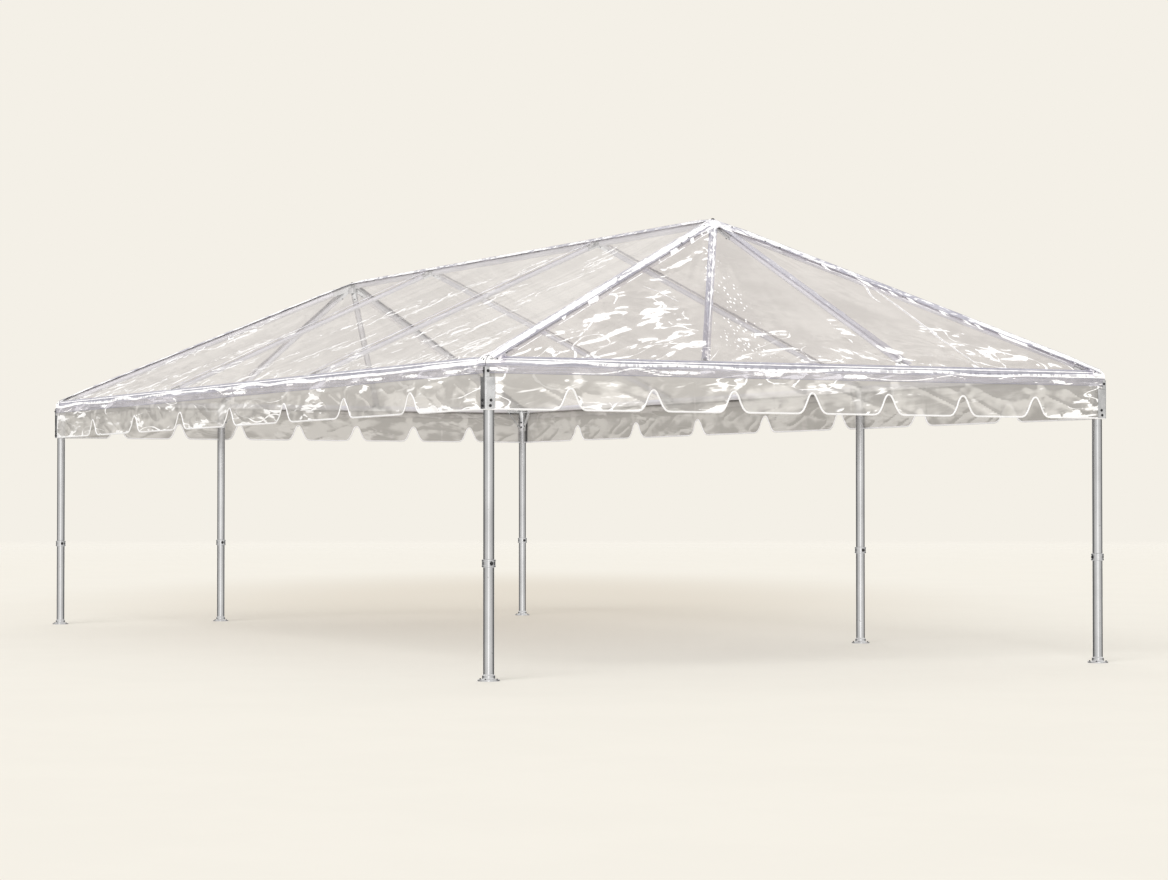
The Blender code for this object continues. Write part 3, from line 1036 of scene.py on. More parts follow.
class Look(Enum):
    """Each look of the marquee: a finish, its pieces' slot, and whether they are open sheets."""

    TUBE = (TubeFinish(), Slot.TUBE, False)
    # A lighter, more lavender copy of the tube finish for the roof's tubes: painted light for their
    # look under the film.
    ROOF_TUBE = (TubeFinish(
        "roof_aluminium_painted_lighter", light=(0.80, 0.80, 0.85), dark=(0.69, 0.69, 0.74),
        rough_low=0.3, rough_high=0.4, metallic=0.15, specular=0.12,
    ), Slot.TUBE, False)
    CAST = (CastFinish(), Slot.CAST, False)
    BOLT = (BoltFinish(), Slot.CAST, False)
    BINDING = (BindingFinish(), Slot.FILM, False)
    ROOF = (FilmFinish("roof_film"), Slot.FILM, True)
    # The skirts: a stronger painted fold shade, and painted shade on their back faces.
    VALANCE = (FilmFinish(
        "valance_film", clear=(0.96, 0.95, 0.94), clear_dark=(0.80, 0.785, 0.765), painted_back_shading=0.77,
        haze=0.58, haze_colour=(0.72, 0.705, 0.685), haze_dark=0.60, edge=0.21, soft_edge=0.08,
        soft_opacity=0.25, painted_fold_shading=0.44, fold_glint=0.45, line_width=0.008, line_from=0.20, bump=0.8,
    ), Slot.FILM, True)
    BAND = (BandFinish("reinforced_band"), Slot.FILM, True)
    STRIP = (BandFinish(
        "rafter_strip", shade=(0.48, 0.48, 0.55), opacity_low=0.35, opacity_high=0.85
    ), Slot.FILM, True)
    VEIL = (BandFinish(
        "ridge_strip", shade=(0.50, 0.50, 0.57), opacity_low=0.58, opacity_high=0.82
    ), Slot.FILM, True)
    PATCH = (BandFinish(
        "crown_patch", colour=(0.80, 0.80, 0.84), shade=(0.66, 0.66, 0.72), opacity_low=0.8
    ), Slot.FILM, True)
    CORNER = (BandFinish(
        "corner_patch", colour=(0.74, 0.74, 0.80), shade=(0.50, 0.50, 0.58), opacity_low=0.30
    ), Slot.FILM, True)
    PLEAT = (BandFinish(
        "film_pleat", colour=(0.62, 0.62, 0.68), shade=(0.48, 0.48, 0.54),
        opacity_low=0.30, opacity_high=0.90,
    ), Slot.FILM, True)


# Frame


@dataclass
class Leg:
    """A leg: round foot, lower tube, coupler and upper tube."""

    name: str
    place: Array
    pin: Array
    radius: float = 0.04445
    foot_radius: float = 0.090
    foot_thick: float = 0.013
    collar_radius: float = 0.0535
    collar_top: float = 0.047
    coupler_top: float = 0.976
    coupler_height: float = 0.063
    coupler_radius: float = 0.0565
    bolt_circle: float = 0.073
    sides: int = 64

    def lower_profile(self) -> list[tuple[float, float]]:
        """The outline of foot, collar, lower tube and coupler.

        Returns:
            The (height, radius) pairs from the ground up.
        """
        thick, top = self.foot_thick, self.coupler_top
        low = top - self.coupler_height
        foot, collar, coupler = self.foot_radius, self.collar_radius, self.coupler_radius
        return [
            (0.0, 0.0), (0.0, foot - 0.002), (0.002, foot),
            (thick - 0.003, foot), (thick, foot - 0.003), (thick, collar + 0.008),
            (thick + 0.004, collar + 0.002), (thick + 0.010, collar),
            (self.collar_top - 0.003, collar), (self.collar_top, collar - 0.003),
            (self.collar_top + 0.002, self.radius + 0.003),
            (self.collar_top + 0.006, self.radius), (self.collar_top + 0.010, self.radius),
            (low - 0.001, self.radius), (low, coupler - 0.004), (low + 0.003, coupler),
            (low + 0.014, coupler), (low + 0.016, coupler - 0.002),
            (top - 0.016, coupler - 0.002), (top - 0.014, coupler),
            (top - 0.003, coupler), (top, coupler - 0.003), (top, 0.0),
        ]

    def build(self) -> None:
        """Makes the lower tube, the upper tube and the leg's bolts."""
        ground = np.array([*self.place[:2], 0.0])
        lower, upper, bolts = Surface(), Surface(), Surface()
        lower.turned(ground, ground + UP, self.lower_profile(), self.sides)
        lower.piece(f"tube_{self.name}_lower", Look.TUBE, f"leg_{self.name}_lower")
        start = ground + UP * (self.coupler_top + PLAN.gap)
        end = ground + UP * (PLAN.eave_axis - PLAN.head_drop - PLAN.gap)
        upper.pipe(start, end, self.radius, self.sides)
        upper.piece(f"tube_{self.name}_upper", Look.TUBE, f"leg_{self.name}_upper")
        middle = ground + UP * (self.coupler_top - self.coupler_height / 2)
        for way in (self.pin, -self.pin):
            bolt(bolts, middle + way * (self.coupler_radius - 0.004), way, 0.0105)
        for a in np.radians([45, 135, 225, 315]):
            spot = ground + np.array([math.cos(a), math.sin(a), 0.0]) * self.bolt_circle
            bolt(bolts, spot + UP * self.foot_thick, UP, 0.0065)
        bolts.piece(f"bolts_{self.name}", Look.BOLT)


@dataclass
class LegHead:
    """The round socket that stands on a leg, with its set bolts."""

    place: Array
    radius: float = 0.050
    rise: float = 0.012

    def add(self, surface: Surface, bolts: Surface, pin: Array) -> None:
        """Adds the head to a fitting and its bolts to the fitting's bolts.

        Args:
            surface: The fitting.
            bolts: Its bolts.
            pin: The side that the set bolts stand on.
        """
        low = self.place - UP * PLAN.head_drop
        r, height = self.radius, PLAN.head_drop + self.rise
        surface.turned(low, self.place, [
            (0.0, 0.0), (0.0, r - 0.002), (0.002, r), (0.016, r), (0.018, r - 0.0015),
            (height - 0.018, r - 0.0015), (height - 0.016, r), (height - 0.004, r),
            (height, r - 0.004), (height, 0.0),
        ], 56)
        for level in (0.05, 0.11):
            bolt(bolts, low + UP * level + pin * (r - 0.003), pin, 0.008)


@dataclass
class KneeBrace:
    """A flat strip from the foot of a leg's head up to a rail, with a bolt at each face."""

    place: Array
    direction: Array
    wide: float = 0.030
    thick: float = 0.006
    reach: float = 0.20

    def add(self, surface: Surface, bolts: Surface) -> None:
        """Adds the strip to a fitting and its bolts to the fitting's bolts.

        Args:
            surface: The fitting.
            bolts: Its bolts.
        """
        low = self.place + self.direction * 0.025 - UP * (PLAN.head_drop - 0.02)
        high = self.place + self.direction * self.reach - UP * (PLAN.socket_radius / 2)
        across = unit(np.cross(self.direction, UP))
        along = unit(high - low)
        square = np.cross(along, across)
        section = strip_section(self.wide, self.thick)
        surface.swept(np.linspace(low, high, 8), across, square, section)
        for way in (square, -square):
            bolt(bolts, low + along * 0.06 + way * self.thick / 2, way, 0.0065)


@dataclass
class CornerFitting:
    """A corner's head, its three sockets and the angle plate bolted outside the canopy."""

    name: str
    sx: int
    sy: int
    wing: float = 0.088
    thick: float = 0.004
    plate_top: float = 2.525
    plate_bottom: float = 2.185
    shoulder: float = 2.445
    tab: float = 0.036
    bend: float = 0.010
    web_thick: float = 0.008
    plate_bolts: tuple[tuple[float, float], ...] = ((2.492, 0.022), (2.256, 0.048), (2.212, 0.042))

    def bent_plate(self, surface: Surface, wing: float, low: float, high: float) -> None:
        """Adds a bent plate: a thin upright section carried round the corner's bend.

        Args:
            surface: What it is added to.
            wing: How far it reaches along each side.
            low: Height of its lower edge.
            high: Height of its upper edge.
        """
        half = self.thick / 2 + PLAN.gap
        angle = np.linspace(0.0, math.pi / 2, 7)
        arc = np.stack([1 - np.sin(angle), 1 - np.cos(angle)], axis=1) * self.bend
        start = np.stack([np.zeros(5), np.linspace(wing, self.bend * 1.2, 5)], axis=1)
        end = np.stack([np.linspace(self.bend * 1.2, wing, 5), np.zeros(5)], axis=1)
        inward = np.concatenate([start, arc[::-1], end]) - half
        corner = PLAN.corner(self.sx, self.sy)
        path = np.stack([
            corner[0] - self.sx * inward[:, 0],
            corner[1] - self.sy * inward[:, 1],
            np.full(len(inward), (low + high) / 2),
        ], axis=1)
        side = unit(np.cross(unit(np.gradient(path, axis=0)), UP))
        surface.swept(path, side, UP, strip_section(self.thick, high - low))

    def plate(self, surface: Surface, bolts: Surface) -> None:
        """Adds the plate with its narrower tab above, and the bolts on both faces.

        Args:
            surface: The fitting.
            bolts: Its bolts.
        """
        corner = PLAN.corner(self.sx, self.sy)
        self.bent_plate(surface, self.wing, self.plate_bottom, self.shoulder)
        self.bent_plate(surface, self.tab, self.shoulder - 0.004, self.plate_top)
        out = PLAN.gap + self.thick
        for z, inset in self.plate_bolts:
            spot = np.array([corner[0] + self.sx * out, corner[1] - self.sy * inset, z])
            bolt(bolts, spot, self.sx * ALONG_X, 0.0085)
            spot = np.array([corner[0] - self.sx * inset, corner[1] + self.sy * out, z])
            bolt(bolts, spot, self.sy * ALONG_Y, 0.0085)

    def web(self, surface: Surface) -> None:
        """Adds the upright web that carries the plate from the head.

        Args:
            surface: The fitting.
        """
        place, corner = (
            at[:2] for at in (PLAN.rail_node(self.sx, self.sy), PLAN.corner(self.sx, self.sy))
        )
        away = unit(corner - place)
        low, high = PLAN.eave_axis - PLAN.head_drop + 0.008, self.plate_top - 0.008
        line = np.linspace(place + away * 0.02, corner + away * 0.002, 4)
        path = np.array([[*p, (low + high) / 2] for p in line])
        side = np.array([away[1], -away[0], 0.0])
        surface.swept(path, side, UP, strip_section(self.web_thick, high - low))

    def build(self) -> None:
        """Makes the fitting and its bolts."""
        place = PLAN.rail_node(self.sx, self.sy)
        foot, crown = PLAN.hip_foot(self.sx, self.sy), PLAN.crown(self.sx)
        in_x, in_y = -self.sx * ALONG_X, -self.sy * ALONG_Y
        body, bolts = Surface(), Surface()
        LegHead(place).add(body, bolts, unit(in_x + in_y))
        reach, radius = PLAN.corner_reach, PLAN.socket_radius
        for start, end in ((place, place + in_x), (place, place + in_y), (foot, crown)):
            body.pipe(start, end, radius, 48, reach)
            sleeve_bolt(bolts, start, end, reach - 0.05, radius, 0.008)
        self.plate(body, bolts)
        self.web(body)
        if self.name == "far_back":
            KneeBrace(place, in_x).add(body, bolts)
            KneeBrace(place, in_y).add(body, bolts)
        body.piece(f"fitting_{self.name}", Look.CAST, f"corner_fitting_{self.name}")
        bolts.piece(f"bolts_corner_{self.name}", Look.BOLT)


@dataclass
class EaveRail:
    """An eave rail with its tees, and the head and braces of an intermediate leg.

    Each station is a rafter's foot and head, and whether a leg stands under it.
    """

    name: str
    start: Array
    end: Array
    stations: list[tuple[Array, Array, bool]]

    def build(self) -> None:
        """Makes the rail tube, its cast tees and their bolts."""
        low = step_from(self.start, self.end, PLAN.corner_reach + PLAN.gap)
        high = step_from(self.end, self.start, PLAN.corner_reach + PLAN.gap)
        axis = unit(high - low)
        half, radius = PLAN.tee_half, PLAN.socket_radius
        tube, tees, bolts = Surface(), Surface(), Surface()
        tube.pipe(low, high, PLAN.tube_radius, 48)
        for foot, head, has_leg in self.stations:
            tees.pipe(foot - axis * half, foot, radius, 48, 2 * half)
            tees.pipe(foot, head, PLAN.rafter_socket, 40, PLAN.tee_reach)
            for way in (-axis, axis):
                sleeve_bolt(bolts, foot, foot + way, half - 0.03, radius, 0.0075)
            if has_leg:
                LegHead(foot).add(tees, bolts, unit(np.cross(axis, -UP)))
                KneeBrace(foot, axis).add(tees, bolts)
                KneeBrace(foot, -axis).add(tees, bolts)
        tube.piece(f"tube_rail_{self.name}", Look.ROOF_TUBE, f"eave_rail_{self.name}")
        tees.piece(f"tees_rail_{self.name}", Look.CAST)
        bolts.piece(f"bolts_rail_{self.name}", Look.BOLT)


@dataclass
class Rafter:
    """A plain tube between its two sockets."""

    name: str
    foot: Array
    head: Array
    foot_reach: float
    head_reach: float
    radius: float

    def build(self) -> None:
        """Makes the tube."""
        low = step_from(self.foot, self.head, self.foot_reach + PLAN.gap)
        high = step_from(self.head, self.foot, self.head_reach + PLAN.gap)
        tube = Surface()
        tube.pipe(low, high, self.radius, 40)
        tube.piece(f"tube_{self.name}", Look.ROOF_TUBE, self.name)


@dataclass
class RidgeRun:
    """The three ridge tubes and the tees of the side rafters."""

    sides: int = 48
    bolt_share: float = 0.7

    def build(self) -> None:
        """Makes the tubes and tees."""
        for end, sx in ENDS.items():
            low = step_from(PLAN.crown(sx), PLAN.side_head(sx), PLAN.ridge_reach + PLAN.gap)
            high = step_from(PLAN.side_head(sx), PLAN.crown(sx), PLAN.tee_half + PLAN.gap)
            part = Surface()
            part.pipe(low, high, PLAN.tube_radius, self.sides)
            part.piece(f"tube_ridge_{end}", Look.ROOF_TUBE, f"ridge_tube_{end}")
        half, radius = PLAN.tee_half, PLAN.socket_radius
        reach = ALONG_X * half
        middle, tees, bolts = Surface(), Surface(), Surface()
        low, high = PLAN.side_head(-1) - reach, PLAN.side_head(1) + reach
        middle.pipe(low, high, PLAN.tube_radius, self.sides)
        for sx in (-1, 1):
            head = PLAN.side_head(sx)
            tees.pipe(head - reach, head + reach, radius, self.sides, 2 * half)
            for sy in (-1, 1):
                foot = PLAN.side_foot(sx, sy)
                tees.pipe(head, foot, PLAN.rafter_socket, 40, PLAN.tee_reach)
            for way in (-ALONG_X, ALONG_X):
                sleeve_bolt(bolts, head, head + way, half * self.bolt_share, radius, 0.0075)
        middle.piece("tube_ridge_middle", Look.ROOF_TUBE, "ridge_tube_middle")
        tees.piece("tees_ridge", Look.CAST)
        bolts.piece("bolts_ridge", Look.BOLT)


@dataclass
class Crown:
    """The cast hub where the ridge, two hips and two end rafters meet."""

    end: str
    sx: int
    drum_radius: float = 0.058
    drum_top: float = -0.014
    drum_bottom: float = -0.080
    drum_edge: float = 0.006

    def build(self) -> None:
        """Makes the hub and its bolts."""
        place = PLAN.crown(self.sx)
        body, bolts = Surface(), Surface()
        base = place + UP * self.drum_bottom
        tall, r, e = self.drum_top - self.drum_bottom, self.drum_radius, self.drum_edge
        drum = [(0, 0), (0, r - e), (e, r), (tall - e, r), (tall, r - e), (tall, 0)]
        body.turned(base, place, drum, 48)
        bolt(bolts, base, -UP, 0.012)
        runs = [(PLAN.side_head(self.sx), PLAN.ridge_reach, PLAN.socket_radius)]
        for sy in (-1, 1):
            runs.append((PLAN.hip_foot(self.sx, sy), PLAN.crown_reach, PLAN.socket_radius))
            runs.append((PLAN.end_foot(self.sx, sy), PLAN.crown_reach, PLAN.rafter_socket))
        for target, reach, radius in runs:
            body.pipe(place, target, radius, 44, reach)
            sleeve_bolt(bolts, place, target, reach - 0.04, radius, 0.0075)
        body.piece(f"fitting_crown_{self.end}", Look.CAST, f"crown_{self.end}")
        bolts.piece(f"bolts_crown_{self.end}", Look.BOLT)


# Canopy


@dataclass(frozen=True)
class Crumple:
    """A patch of a slope where the film is crinkled and its painted glints gather.

    Its place is along the eave from the slope's middle line, and down it as a share.
    """

    along: float
    share: float
    wide: float
    tall: float
    strength: float = 1.0
    lean: float = 0.0

    def weight(self, along: Array, share: Array, slope: float) -> Array:
        """How strongly the patch is felt: strength * exp(-(distance in radii)^3).

        Args:
            along: Distance along the eave from the slope's middle line.
            share: 0 at the ridge to 1 at the eave.
            slope: The slope's length.

        Returns:
            The weight, of the shape of along.
        """
        x = along - self.along
        y = (share - self.share) * slope
        c, s = math.cos(self.lean), math.sin(self.lean)
        a = (x * c + y * s) / self.wide
        b = (-x * s + y * c) / self.tall
        return self.strength * np.exp(-((a * a + b * b) ** 1.5))


def strongest(patches: tuple, along: Array, share: Array, slope: float) -> Array:
    """The largest weight of some patches at each place, and at least 0."""
    weights = [patch.weight(along, share, slope) for patch in patches]
    return np.max([np.zeros_like(along), *weights], axis=0)


END_CRUMPLES = tuple(Crumple(*row) for row in (
    (-1.18, 0.70, 0.17, 0.36, 3.4, 0.35), (-1.34, 0.60, 0.24, 0.12, 1.6),
    (-1.78, 0.80, 0.20, 0.24, 1.7), (-2.12, 0.86, 0.28, 0.11, 1.5),
    (-1.42, 0.92, 0.34, 0.15, 2.2), (-1.90, 0.95, 0.40, 0.09, 1.6),
    (-0.95, 0.62, 0.04, 0.60, 0.9), (-0.98, 0.86, 0.07, 0.30, 1.9),
    (-0.24, 0.20, 0.045, 0.20, 2.6, 0.30), (-0.42, 0.40, 0.045, 0.30, 2.2, 0.30),
    (-0.72, 0.36, 0.030, 0.50, 2.4, 0.95), (-1.10, 0.50, 0.035, 0.40, 2.2, 0.75),
    (-1.60, 0.70, 0.050, 0.45, 1.9, 0.75), (-0.20, 0.85, 0.34, 0.26, 0.8),
    (0.62, 0.82, 0.05, 0.40, 1.6, -0.35), (0.92, 0.93, 0.10, 0.20, 1.5, -0.5),
    (1.85, 0.88, 0.50, 0.10, 1.8, 0.10), (2.25, 0.93, 0.35, 0.09, 1.8, 0.10),
    (1.60, 0.76, 0.22, 0.10, 1.6, 0.35), (1.30, 0.95, 0.30, 0.08, 1.2),
    (-2.5, 0.96, 0.30, 0.08, 1.7),
))
# Patches of painted glint dots on the end slopes.
END_SPECKLES = tuple(Crumple(*row) for row in (
    (-0.33, 0.50, 0.15, 0.55, 1.15, 0.10), (-0.50, 0.82, 0.30, 0.45, 1.15, 0.25),
    (-0.95, 0.90, 0.09, 0.25, 0.9), (-0.62, 0.72, 0.05, 0.45, 0.5),
    (0.55, 0.78, 0.07, 0.30, 0.7, -0.35),
))
SIDE_CRUMPLES = tuple(Crumple(*row) for row in (
    (3.45, 0.22, 0.16, 0.30, 2.9), (3.90, 0.45, 0.16, 0.40, 2.8), (3.95, 0.62, 0.16, 0.45, 2.6),
    (4.10, 0.82, 0.20, 0.30, 2.6), (1.75, 0.10, 0.26, 0.18, 3.0), (2.10, 0.26, 0.16, 0.30, 2.8),
    (2.55, 0.42, 0.16, 0.35, 3.0), (3.07, 0.70, 0.20, 0.40, 2.6), (3.60, 0.80, 0.26, 0.22, 2.8),
    (5.00, 0.86, 0.34, 0.22, 2.6), (0.10, 0.36, 0.20, 0.30, 3.0), (0.76, 0.42, 0.22, 0.36, 3.0),
    (1.00, 0.76, 0.26, 0.30, 2.6), (-0.50, 0.52, 0.16, 0.35, 1.9), (-0.40, 0.82, 0.26, 0.30, 2.2),
    (-1.90, 0.55, 0.20, 0.30, 2.6), (-1.80, 0.80, 0.30, 0.22, 2.0),
    (-2.68, 0.72, 0.30, 0.30, 3.2), (-2.97, 0.88, 0.50, 0.20, 2.8),
    (-4.34, 0.50, 0.26, 0.40, 3.2), (-4.62, 0.70, 0.34, 0.36, 3.4),
    (-4.20, 0.36, 0.20, 0.30, 2.4), (-4.90, 0.88, 0.50, 0.22, 2.6), (2.20, 0.92, 0.40, 0.14, 2.2),
))


@dataclass
class Canopy:
    """The clear roof: one closed ring of film from the ridge down over the eave's edge."""

    side_columns: int = 300
    end_columns: int = 130
    rows: int = 84
    lip_rows: int = 12
    lip_from: float = -0.12
    lip_drop: float = 0.050
    ref: float = 3.0
    side_sag: float = 0.030
    end_sag: float = 0.016
    map_shift: float = 20.0
    end_extra: float = 1.035
    lip_area: float = 1.8

    def eave_curve(self, c: Array) -> tuple[Array, Array, Array]:
        """The rounded edge: how the film turns from the slope to the upright.

        With r the bend's size, the film lies (sqrt(c*c + r*r) - c) / 2 up the slope from the
        sharp edge and (sqrt(c*c + r*r) + c) / 2 below it.

        Args:
            c: Signed distance over the edge, negative up the slope.

        Returns:
            Share of the slope that is left above, the inset in plan, and the height over the
            plane's own.
        """
        r = PLAN.lip_radius
        root = np.sqrt(c * c + r * r)
        left = np.clip(-c / self.ref, 0.0, 1.0)
        extra = (root - np.abs(c)) / 2 * ease(1 - left, 0.0, 0.5)
        below = (root + c) / 2 * ease(1 - left, 0.0, 0.5)
        return left, extra * 0.85, extra * 0.5 - below

    def ring(self, left: Array, inset: Array, height: Array) -> tuple[Array, Array, Array]:
        """The ring of film that lies at each row.

        Args:
            left: Share of the slope that is left above.
            inset: Inset in plan.
            height: Height over the plane's own.

        Returns:
            Half-length, half-width and height.
        """
        long_half = PLAN.length / 2 - PLAN.hip_setback * left - inset
        wide_half = np.maximum(PLAN.width / 2 * (1 - left) - inset, 0.0)
        return long_half, wide_half, PLAN.eave + PLAN.rise * left + height

    def relief(self, panel: Panel, along: Array, share: Array, half: Array) -> Array:
        """How far the film lies above (or, where it sags, below) its flat slope.

        Between tubes it sags as 4t(1-t). Soft ridges run down the slope where tension lies,
        shorter ones cross them, and all fade out over the tubes.

        Args:
            panel: The slope.
            along: Distance along the eave from the slope's middle line.
            share: 0 at the ridge to 1 at the eave.
            half: Half the slope's length at that height.

        Returns:
            Height in metres, of the shape of along.
        """
        seed = 11 + 10 * panel.order
        deep = self.end_sag if panel.ends else self.side_sag
        third = PLAN.width / 6 * share if panel.ends else np.full_like(along, PLAN.length / 6)
        inner = np.abs(along) < third
        span = np.where(inner, 2 * third, half - third)
        start = np.where(inner, -third, third)
        place = np.where(inner, along, np.abs(along))
        t = np.clip((place - start) / np.maximum(span, 1e-6), 0.0, 1.0)
        sag = -deep * 4 * t * (1 - t) * np.sin(math.pi * share) ** 0.8
        to_tube = np.minimum(t, 1 - t) * span
        to_edge = np.minimum((1 - share) * panel.slope, share * panel.slope)
        calm = ease(to_tube, 0.01, 0.16) * ease(to_edge, 0.04, 0.22)
        if panel.ends:
            calm = calm * ease(half - np.abs(along), 0.19, 0.40)
        ray = along / np.maximum(half, 0.2) * 2.6 if panel.ends else along
        down = share * panel.slope
        tension = lattice_noise(ray * 2.3 + down * 0.35, down * 0.55, seed)
        folds = lattice_noise(ray * 5.2 - down * 0.7, down * 1.3, seed + 1)
        folds = (1 - np.abs(folds)) ** 2
        cross = lattice_noise(along * 3.2, down * 8.0, seed + 2)
        cross = (1 - np.abs(cross)) ** 3
        crumple = np.minimum(self.crease(panel, along, share), 1.2)
        waves = 0.0045 * tension + 0.0035 * folds + 0.010 * crumple * cross
        return calm * (sag + waves)

    def crease(self, panel: Panel, along: Array, share: Array) -> Array:
        """How crinkled the film is, which also sets where its painted glints gather: named patches
        over a random base, whichever is more.

        On the long slopes the patches' outlines wander, so that they are ragged from above.

        Args:
            panel: The slope.
            along: Distance along the eave from the slope's middle line.
            share: 0 at the ridge to 1 at the eave.

        Returns:
            0 to 3.2, of the shape of along.
        """
        seed = 5 + 7 * panel.order
        down = share * panel.slope
        x, y = along * panel.flip, share
        if not panel.ends:
            x = x + 0.46 * lattice_noise(along * 1.9, down * 1.9, seed + 1)
            y = y + 0.13 * lattice_noise(along * 1.9, down * 1.9, seed + 2)
        total = strongest(END_CRUMPLES if panel.ends else SIDE_CRUMPLES, x, y, panel.slope)
        quiet = 0.12 if panel.ends else 0.18
        base = quiet + 0.22 * lattice_noise(along * 1.5, down * 1.5, seed)
        low = 0.45 * ease(share, 0.86, 0.985)
        return np.clip(np.maximum(total, base + low), 0.0, 3.2)

    def crinkle_map(self, ends: bool, along: Array, run: Array) -> Array:
        """The map that crinkles run along: turned towards the hips at the ends, downhill beside.

        Args:
            ends: Whether the slope is one of the two ends.
            along: Distance along the eave from the slope's middle line.
            run: Distance down the slope.

        Returns:
            The map, of the shape of along with 2 more.
        """
        if ends:
            lean = math.radians(20)
            side = np.sqrt(along * along + 0.09)
            first = (along * math.cos(lean) + run * 0.35) * 3.3
            second = (run * math.cos(lean) - side * math.sin(lean)) * 6.0
        else:
            lean = math.radians(12)
            first = (run * math.cos(lean) - along * math.sin(lean)) * 5.2
            place = along * math.cos(lean) + run * math.sin(lean)
            second = place * (4.0 + 0.14 * place)
        return np.stack([first, second], axis=-1)

    def tilt(self, bump: Array, along: Array, run: Array) -> Array:
        """How far the relief leans: its slopes along and down the panel, added and scaled.

        Args:
            bump: The relief.
            along: Distance along the eave.
            run: Distance down the slope.

        Returns:
            -0.6 to 0.6, of the shape of bump.
        """
        across = np.gradient(bump, axis=1) / np.maximum(np.abs(np.gradient(along, axis=1)), 0.004)
        down = np.gradient(bump, axis=0) / np.maximum(np.gradient(run, axis=0), 0.004)
        return np.clip((across + down) * 7.0, -0.6, 0.6)

    def columns(self) -> list[tuple[Panel, Array]]:
        """Each slope with the shares of its half-length at its columns, in order round."""
        counts = [self.end_columns if p.ends else self.side_columns for p in Panel]
        return [(p, np.linspace(-1, 1, count + 1)) for p, count in zip(Panel, counts)]

    def slope_points(
        self, panel: Panel, s: Array, c: Array, lift: float = 0.0
    ) -> tuple[Array, Array, Array, dict[str, Array]]:
        """Points of one slope.

        Args:
            panel: The slope.
            s: Columns, as shares of the half-length from -1 to 1, in order round, or the same
                for each row.
            c: Rows, as signed distance over the eave's edge.
            lift: How far above the film they lie.

        Returns:
            Points, map in metres, crinkle map and the finish's fields, each rows x columns.
        """
        left, inset, height = self.eave_curve(c)
        long_half, wide_half, z = self.ring(left, inset, height)
        half, out = (wide_half, long_half) if panel.ends else (long_half, wide_half)
        along = np.atleast_2d(s) * half[:, None]
        share, half, out, z, over = (
            np.broadcast_to(row[:, None], along.shape)
            for row in (1 - left, half, out, z, np.maximum(c, 0))
        )
        bump = self.relief(panel, along, share, half)
        x, y = {
            Panel.FRONT: (along, -out),
            Panel.NEAR_END: (out, along),
            Panel.BACK: (-along, out),
            Panel.FAR_END: (-out, -along),
        }[panel]
        points = np.stack([x, y, z + bump], axis=-1)
        if lift:
            points = points + grid_normals(points) * lift
        run = share * panel.slope + over
        shift = self.map_shift * panel.order
        uv = np.stack([along + shift, run], axis=-1)
        crinkle = self.crinkle_map(panel.ends, along, run) + shift * np.array([3.0, 2.0])
        crease = self.crease(panel, along, share)
        speckles = END_SPECKLES if panel.ends else ()
        fields = {
            CREASE: crease,
            # In the densest patches the tilt rises, so that the painted glints fill in solid.
            TILT: self.tilt(bump, along, run) + 0.22 * ease(crease, 1.9, 3.1),
            SPECKLE: strongest(speckles, along * panel.flip, share, panel.slope),
            # The end slopes get a painted shade.
            PAINTED_END_SHADE: np.full_like(along, float(panel.ends)),
        }
        return points, uv, crinkle, fields

    def build(self) -> None:
        """Makes the roof film as one sheet."""
        upper = -self.ref + (self.ref + self.lip_from) * np.linspace(0.0, 1.0, self.rows)
        lip = np.linspace(self.lip_from, self.lip_drop, self.lip_rows + 1)[1:]
        c = np.concatenate([upper, lip])
        film = Surface()
        for panel, s in self.columns():
            film.grid(*self.slope_points(panel, s, c), over=True)
        made = film.piece("roof_film", Look.ROOF, *(f"roof_panel_{p.value}" for p in Panel))
        rests = ["tube_ridge_near", "tube_ridge_middle", "tube_ridge_far"]
        rests += [f"tube_rail_{p.value}" for p in Panel]
        rests += [f"tube_hip_rafter_{name}" for name in CORNERS]


